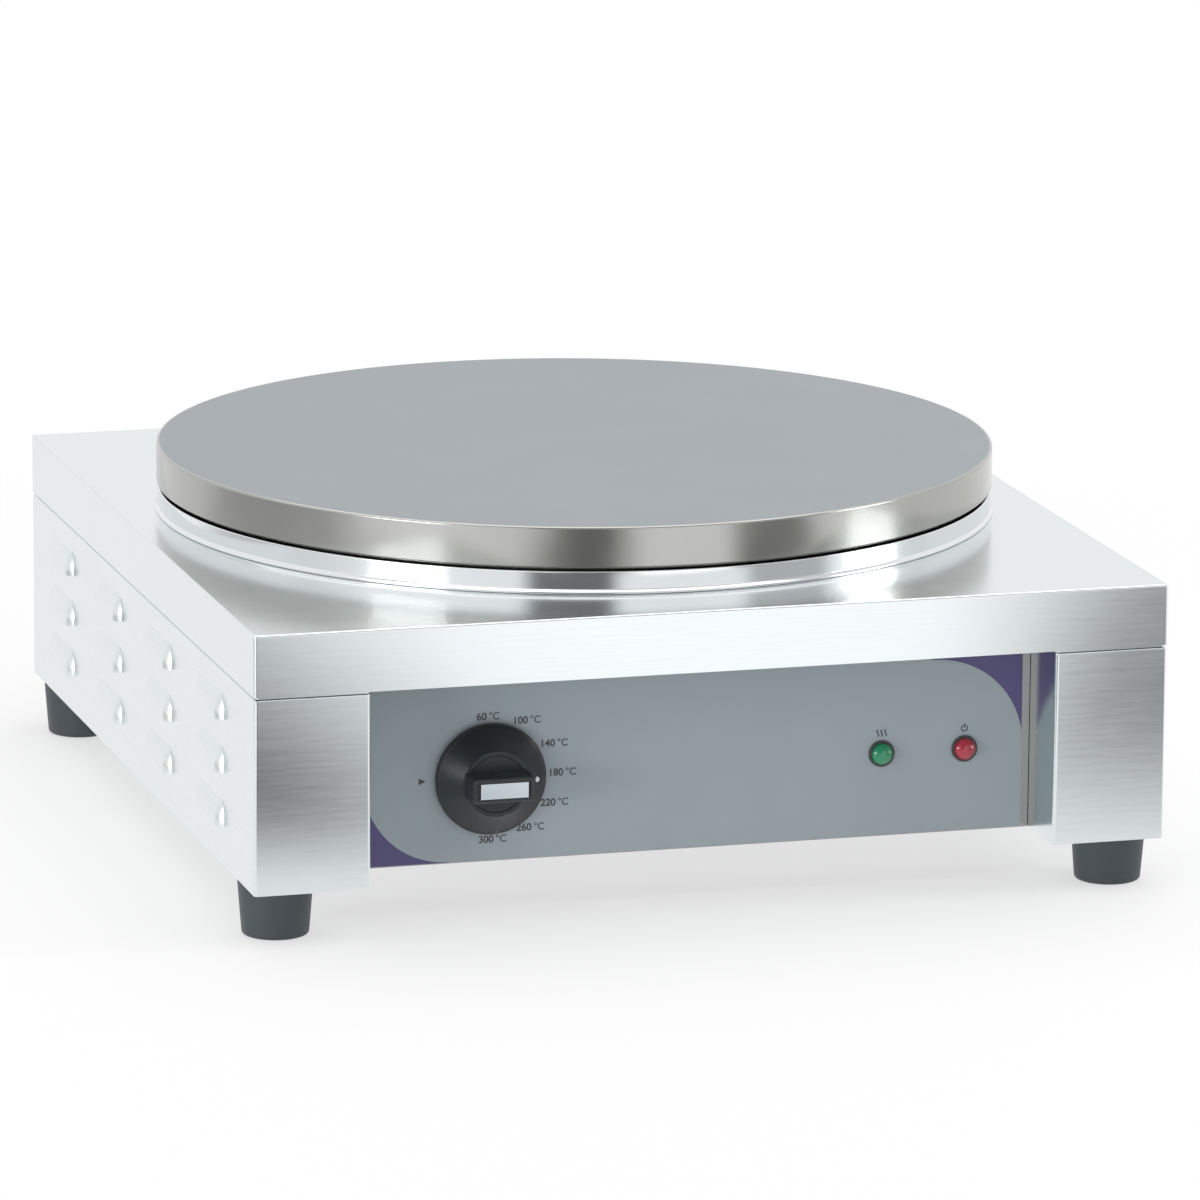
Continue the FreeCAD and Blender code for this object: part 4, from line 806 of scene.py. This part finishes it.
FOOT_BORE = 3.3 * MM
FOOT_WELL = 7 * MM
FOOT_WELL_DEPTH = 12 * MM
FOOT_BOTTOM = 15.5 * MM
FOOT_EDGE = 1.8 * MM
FOOT_TOP_EDGE = 0.6 * MM


def make_feet():
    """Rubber feet that swell upwards, with a well for the screw."""
    for node in ("front_left_foot", "front_right_foot", "back_left_foot", "back_right_foot"):
        low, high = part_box(node)
        top = (high.x - low.x) / 2
        tall = high.z - low.z
        section = [(FOOT_BORE, tall), (FOOT_BORE, FOOT_WELL_DEPTH), (FOOT_WELL, FOOT_WELL_DEPTH)]
        section += [(FOOT_WELL, 0.4 * MM), (7.4 * MM, 0)]
        section += arc(FOOT_BOTTOM - FOOT_EDGE, FOOT_EDGE, FOOT_EDGE, -90, 0, 6)
        section += [(FOOT_BOTTOM + 0.9 * MM, 13 * MM)]
        section += arc(top - FOOT_TOP_EDGE, tall - FOOT_TOP_EDGE, FOOT_TOP_EDGE, 0, 90, 4)
        section += [(FOOT_BORE, tall)]
        centre = ((low.x + high.x) / 2, (low.y + high.y) / 2, low.z)
        foot = turned(node.replace("_foot", "_rubber"), section, centre, steps=64)
        dress(foot, RUBBER, [node])


# Control panel print, dial figures and lamps

INK_LIFT = 0.05 * MM

# Where each number ends if it had two digits, in millimetres across and up
DIAL_FIGURES = {
    "60": (-99.0, 93.3), "100": (-81.0, 90.6), "140": (-68.0, 79.0), "180": (-64.0, 65.1),
    "220": (-67.6, 51.1), "260": (-79.0, 40.1), "300": (-97.0, 35.5),
}
THIRD_DIGIT = 1.5
FIGURE_SIZE = 4.8 * MM
UNIT_GAP = 0.9 * MM
DIGIT_WEIGHT = 0.02
UNIT_WEIGHT = 0.008

# The off mark's middle across and up, and its half size
OFF_MARK = (-129.5 * MM, 64.6 * MM, 1.55 * MM)
SIGN_HEIGHT = 74.3 * MM
SIGN_LINE = 0.35 * MM
WAVE_SWING = 0.35 * MM
WAVE_PITCH = 1.9 * MM
WAVE_STEP = 0.42 * MM
POWER_OUTER = 1.75 * MM
POWER_INNER = 1.2 * MM

BEZEL_WIDTH = 1.1 * MM
BEZEL_GAP = 0.05 * MM
BEZEL_EDGE = 0.9 * MM
BEZEL_ROUND = 0.5 * MM
BEZEL_HEIGHT = 1.3 * MM
LENS_SEAT = 0.3 * MM
LENS_SIDE = 1.1 * MM


def make_film():
    film = block("printed_panel", PRINT_LOW, PRINT_HIGH)
    round_edges(film, lambda edge: abs(edge.verts[0].co.y - edge.verts[1].co.y) > 0.1 * MM, 1.0 * MM, 4)
    dress(film, PRINTED_FILM, ["panel_overlay"])


def write(name, words, x, z, weight, left=False):
    """Printed words standing just proud of the film."""
    bpy.ops.object.text_add(location=(x, PRINT_LOW.y - INK_LIFT, z), rotation=(math.pi / 2, 0, 0),
                            scale=(1.25, 1, 1))
    text = bpy.context.active_object
    text.data.body = words
    text.data.size = FIGURE_SIZE
    text.data.align_x = "LEFT" if left else "RIGHT"
    text.data.align_y = "CENTER"
    text.data.offset = weight * FIGURE_SIZE
    text.data.extrude = INK_LIFT
    bpy.ops.object.convert(target="MESH")
    piece = apply_place(name)
    close_up(piece)
    return piece


def make_figures():
    figures = []
    for words, (x, z) in DIAL_FIGURES.items():
        end = (x + THIRD_DIGIT * (len(words) - 2)) * MM
        figures.append(write("dial_" + words, words, end, z * MM, DIGIT_WEIGHT))
        figures.append(write("dial_unit", "°C", end + UNIT_GAP, z * MM, UNIT_WEIGHT, left=True))
    scale = join(figures)
    scale.name = "dial_figures"
    dress(scale, INK)


def upright_plate(name, outline):
    """A thin printed shape over an outline of (x, z) points."""
    front = PRINT_LOW.y - INK_LIFT
    return filled(name, [Vector((x, front, z)) for x, z in outline], TO_BACK * INK_LIFT * 1.5)


def make_symbols():
    """An off mark, a heat sign over the green lamp and a power sign over the red one."""
    off_x, off_z, off = OFF_MARK
    arrow = [(off_x - off, off_z + off), (off_x + off * 1.2, off_z), (off_x - off, off_z - off)]
    marks = [upright_plate("off_mark", arrow)]
    green_x = sum(corner.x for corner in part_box("green_lamp_lens")) / 2
    wave = [(WAVE_SWING * math.sin(turn * math.pi / 4), (turn - 4) * WAVE_STEP) for turn in range(9)]
    for step in (-1, 0, 1):
        x = green_x + step * WAVE_PITCH
        outline = [(x + dx - SIGN_LINE, SIGN_HEIGHT + dz) for dx, dz in wave]
        outline += [(x + dx + SIGN_LINE, SIGN_HEIGHT + dz) for dx, dz in reversed(wave)]
        marks.append(upright_plate("heat_wave", outline))
    red_x = sum(corner.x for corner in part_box("red_lamp_lens")) / 2
    turns = [math.radians(125 + step * 290 / 24) for step in range(25)]
    ring = [(red_x + POWER_OUTER * math.cos(turn), SIGN_HEIGHT + POWER_OUTER * math.sin(turn))
            for turn in turns]
    ring += [(red_x + POWER_INNER * math.cos(turn), SIGN_HEIGHT + POWER_INNER * math.sin(turn))
             for turn in reversed(turns)]
    marks.append(upright_plate("power_ring", ring))
    left, right = red_x - SIGN_LINE, red_x + SIGN_LINE
    low, high = SIGN_HEIGHT + 0.2 * MM, SIGN_HEIGHT + 2.2 * MM
    marks.append(upright_plate("power_bar", [(left, low), (right, low), (right, high), (left, high)]))
    signs = join(marks)
    signs.name = "panel_signs"
    dress(signs, INK)


def make_lamps():
    """A domed lens in a dark bezel for each lamp."""
    for colour, finish in (("green", LENS_GREEN), ("red", LENS_RED)):
        low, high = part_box(colour + "_lamp_lens")
        centre = ((low.x + high.x) / 2, high.y, (low.z + high.z) / 2)
        wide = (high.x - low.x) / 2
        reach = high.y - low.y
        inner = wide - BEZEL_WIDTH
        turns = [math.radians(turn) for turn in range(0, 90, 9)]
        section = [(0, LENS_SEAT), (inner, LENS_SEAT)]
        section += [(inner * math.cos(turn), LENS_SIDE + (reach - LENS_SIDE) * math.sin(turn))
                    for turn in turns]
        section += [(0, reach)]
        lens = turned(colour + "_dome", section, centre, TO_FRONT, 64, 40)
        dress(lens, finish, [colour + "_lamp_lens"])
        seat = inner + BEZEL_GAP
        section = [(seat, BEZEL_GAP), (wide, BEZEL_GAP), (wide, BEZEL_EDGE)]
        section += arc(wide - BEZEL_ROUND, BEZEL_EDGE, BEZEL_ROUND, 0, 90, 4)
        section += [(seat, BEZEL_HEIGHT), (seat, BEZEL_GAP)]
        bezel = turned(colour + "_bezel", section, centre, TO_FRONT, 64, 40)
        dress(bezel, DARK_MOULDING)


# Knob: heights run from its base towards the front

KNOB_HUB = 15.5 * MM
KNOB_SHOULDER = 11.0 * MM
KNOB_SHELL = 2.5 * MM
KNOB_BORE = 4.0 * MM
KNOB_INSIDE = 8.0 * MM
HUB_EDGE = 0.4 * MM
GRIP_HALF = Vector((15.0 * MM, 0, 6.25 * MM))
GRIP_BORDER = 2.2 * MM
GRIP_RECESS = 0.8 * MM
GRIP_EDGE = 1.2 * MM
GRIP_SIDE = 3.0 * MM
INLAY_EDGE = 0.25 * MM
DOT_EDGE = 0.3 * MM


def knob_section(radius):
    """Heights from the knob's base: its hollow inside, its rim and cone, and the dished hub."""
    inside = radius - KNOB_SHELL
    dish = KNOB_SHOULDER + 0.7 * MM
    section = [(KNOB_BORE, KNOB_INSIDE), (KNOB_HUB, KNOB_INSIDE), (inside, 1.5 * MM), (inside, 0.0)]
    section += [(radius - 0.2 * MM, 0.0), (radius, 0.2 * MM)]
    section += arc(radius - 0.8 * MM, 2.2 * MM, 0.8 * MM, 0, 55, 4)
    section += [(radius - 1.6 * MM, 3.4 * MM), (KNOB_HUB + 3.4 * MM, 8.3 * MM)]
    section += [(KNOB_HUB + 0.5 * MM, KNOB_SHOULDER)]
    section += arc(KNOB_HUB - HUB_EDGE, KNOB_SHOULDER + 0.6 * MM, HUB_EDGE, 0, 90, 4)
    section += [(KNOB_HUB - 2.0 * MM, KNOB_SHOULDER + 1.0 * MM), (KNOB_HUB - 2.4 * MM, dish), (0, dish)]
    return section + [(0, KNOB_INSIDE), (KNOB_BORE, KNOB_INSIDE)]


def make_grip(centre):
    """A bar across the knob, narrower at the front, where it is recessed for the inlay."""
    half = GRIP_HALF
    grip = block("knob_grip", (centre.x - half.x, KNOB_LOW.y, centre.z - half.z),
                 (centre.x + half.x, centre.y - KNOB_SHOULDER, centre.z + half.z))
    pick(grip, "FACE", lambda face: face.normal.y < -0.9)
    bpy.ops.transform.resize(value=(0.96, 1, 0.9))
    bpy.ops.mesh.inset(thickness=GRIP_BORDER)
    bpy.ops.mesh.extrude_region_move(TRANSFORM_OT_translate={"value": (0, GRIP_RECESS, 0)})
    leave()
    front = KNOB_LOW.y + NEAR

    def on_outline(corner):
        return corner.co.y < front and (abs(corner.co.x - centre.x) > half.x * 0.9 or
                                        abs(corner.co.z - centre.z) > half.z * 0.8)

    round_edges(grip, lambda edge: all(on_outline(corner) for corner in edge.verts)
                or abs(edge.verts[0].co.y - edge.verts[1].co.y) > GRIP_SIDE, GRIP_EDGE, 4)
    return smooth(grip, 40)


def make_knob():
    """The moulding with its grip, the inlay and the dot."""
    centre = Vector(((KNOB_LOW.x + KNOB_HIGH.x) / 2, KNOB_HIGH.y, (KNOB_LOW.z + KNOB_HIGH.z) / 2))
    radius = (KNOB_HIGH.z - KNOB_LOW.z) / 2
    skirt = turned("knob_skirt", knob_section(radius), centre, TO_FRONT, 128, 35)
    knob = join([skirt, make_grip(centre)])
    knob.name = "knob_moulding"
    dress(knob, KNOB_PLASTIC, ["knob_body"], "thermostat_knob")
    low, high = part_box("knob_insert")
    inlay = block("knob_inlay", low, high)
    round_edges(inlay, lambda edge: middle(edge).y < low.y + NEAR, INLAY_EDGE, 2)
    dress(smooth(inlay), KNOB_SILVER, ["knob_insert"], "thermostat_knob")
    low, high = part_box("knob_pointer")
    wide = (high.x - low.x) / 2
    reach = high.y - low.y
    section = [(0, 0), (wide, 0), (wide, reach - DOT_EDGE), (wide - DOT_EDGE, reach), (0, reach)]
    dot = turned("knob_dot", section, ((low.x + high.x) / 2, high.y, (low.z + high.z) / 2), TO_FRONT, 32)
    dress(dot, POINTER_WHITE, ["knob_pointer"], "thermostat_knob")


make_cover()
make_side_sheets()
make_griddle()
make_ring()
make_feet()
make_film()
make_figures()
make_symbols()
make_lamps()
make_knob()


# Studio: pale floor, white surroundings and soft lamps

# Grey cards on the floor: middle, turn in degrees, half sizes, soft edges and how dark
GREY_CARDS = (
    ((-0.22, -0.86), 0.0, (0.09, 0.38), (0.15, 0.13), 0.9),
    ((0.549, -0.798), 23.2, (0.14, 0.33), (0.07, 0.24), 0.78),
    ((-1.0, 0.12), 0.0, (0.22, 0.3), (0.2, 0.2), 0.4),
)

# Grey screens in front: middle and half width in degrees, and how dark
GREY_SCREENS = ((-16.5, 9.5, 0.85), (45.0, 10.0, 0.5))
SCREEN_EDGE = 5


def make_floor():
    """White for the camera, with grey cards that only the metal mirrors."""
    bpy.ops.mesh.primitive_circle_add(vertices=64, radius=12.0, fill_type="NGON", location=(0, 0, 0))
    floor = apply_place("studio_floor")
    material = bpy.data.materials.new("pale_floor")
    material.use_nodes = True
    tree = material.node_tree
    tree.nodes["Principled BSDF"].inputs["Base Color"].default_value = (0.92, 0.92, 0.92, 1)
    tree.nodes["Principled BSDF"].inputs["Roughness"].default_value = 0.7
    glow = tree.nodes.new("ShaderNodeEmission")
    path = tree.nodes.new("ShaderNodeLightPath")
    place = tree.nodes.new("ShaderNodeTexCoord").outputs["Object"]

    def card(spot, turn, half, soft, dark):
        moved = tree.nodes.new("ShaderNodeMapping")
        moved.vector_type = "TEXTURE"
        moved.inputs["Location"].default_value = (*spot, 0)
        moved.inputs["Rotation"].default_value = (0, 0, math.radians(turn))
        tree.links.new(place, moved.inputs["Vector"])
        parts = split(tree, moved.outputs["Vector"])
        reach = [spread(tree, calculate(tree, "ABSOLUTE", parts[axis]), size, size + edge, 1.0, 0.0)
                 for axis, size, edge in zip("XY", half, soft)]
        return calculate(tree, "MULTIPLY", calculate(tree, "MULTIPLY", *reach), dark)

    grey = card(*GREY_CARDS[0])
    for entry in GREY_CARDS[1:]:
        grey = calculate(tree, "MAXIMUM", grey, card(*entry))
    bright = spread(tree, split(tree, place)["Y"], -0.6, -0.35, 1.3, 1.0)
    mirrored = path.outputs["Is Glossy Ray"]
    left_over = calculate(tree, "MULTIPLY", bright, calculate(tree, "SUBTRACT", 1.0, grey))
    change = calculate(tree, "MULTIPLY", calculate(tree, "SUBTRACT", left_over, 1.0), mirrored)
    tree.links.new(calculate(tree, "ADD", change, 1.0), glow.inputs["Strength"])
    length = tree.nodes.new("ShaderNodeVectorMath")
    length.operation = "LENGTH"
    tree.links.new(place, length.inputs[0])
    far = spread(tree, length.outputs["Value"], 0.35, 0.9, 0.55, 1.0)
    shown = calculate(tree, "MAXIMUM", path.outputs["Is Camera Ray"], path.outputs["Is Transmission Ray"])
    mix = tree.nodes.new("ShaderNodeMixShader")
    share = calculate(tree, "MAXIMUM", calculate(tree, "MULTIPLY", far, shown), mirrored)
    tree.links.new(share, mix.inputs["Fac"])
    tree.links.new(tree.nodes["Principled BSDF"].outputs["BSDF"], mix.inputs[1])
    tree.links.new(glow.outputs["Emission"], mix.inputs[2])
    tree.links.new(mix.outputs["Shader"], tree.nodes["Material Output"].inputs["Surface"])
    floor.data.materials.append(material)


def make_world():
    """White for the camera, with grey screens in front that only mirrors and glass see."""
    world = bpy.data.worlds.new("studio")
    bpy.context.scene.world = world
    world.use_nodes = True
    tree = world.node_tree
    path = tree.nodes.new("ShaderNodeLightPath").outputs
    way = split(tree, tree.nodes.new("ShaderNodeTexCoord").outputs["Generated"])
    room = spread(tree, way["Y"], -0.9, 0.2, 0.3, 1.0)
    turn = calculate(tree, "ARCTAN2", way["X"], calculate(tree, "MULTIPLY", way["Y"], -1.0))

    def screen(middle_turn, half, dark):
        away = calculate(tree, "ABSOLUTE", calculate(tree, "SUBTRACT", turn, math.radians(middle_turn)))
        return spread(tree, away, math.radians(half), math.radians(half + SCREEN_EDGE), dark, 0.0)

    screens = calculate(tree, "MAXIMUM", *[screen(*entry) for entry in GREY_SCREENS])
    front = calculate(tree, "MULTIPLY", calculate(tree, "SUBTRACT", 1.0, screens), 1.2)
    high = spread(tree, way["Z"], 0.3, 0.42, 0.0, 1.0)
    behind = spread(tree, way["Y"], -0.3, 0.1, 0.0, 1.0)
    plain = between(tree, calculate(tree, "MAXIMUM", high, behind), front, room)
    mirrored = calculate(tree, "MAXIMUM", path["Is Glossy Ray"], path["Is Transmission Ray"])
    lit = between(tree, mirrored, 0.55, plain)
    shown = between(tree, path["Is Camera Ray"], lit, 1.0)
    tree.links.new(shown, tree.nodes["Background"].inputs["Color"])


def add_softbox(name, place, target, wide, tall, power):
    bpy.ops.object.light_add(type="AREA", location=place)
    lamp = bpy.context.active_object
    lamp.name = name
    lamp.data.shape = "RECTANGLE"
    lamp.data.size = wide
    lamp.data.size_y = tall
    lamp.data.energy = power
    lamp.rotation_euler = (Vector(target) - Vector(place)).to_track_quat("-Z", "Y").to_euler()
    lamp.visible_camera = False


make_floor()
make_world()
add_softbox("overhead_softbox", (0.0, 0.1, 2.0), (0, 0, 0.1), 3.0, 3.0, 30)
add_softbox("left_softbox", (-1.9, -1.1, 0.24), (0, -0.1, 0.1), 0.8, 0.4, 11)
add_softbox("right_softbox", (1.9, -0.7, 0.95), (0, -0.1, 0.1), 0.65, 0.65, 9)
bpy.context.scene.view_settings.view_transform = "Standard"
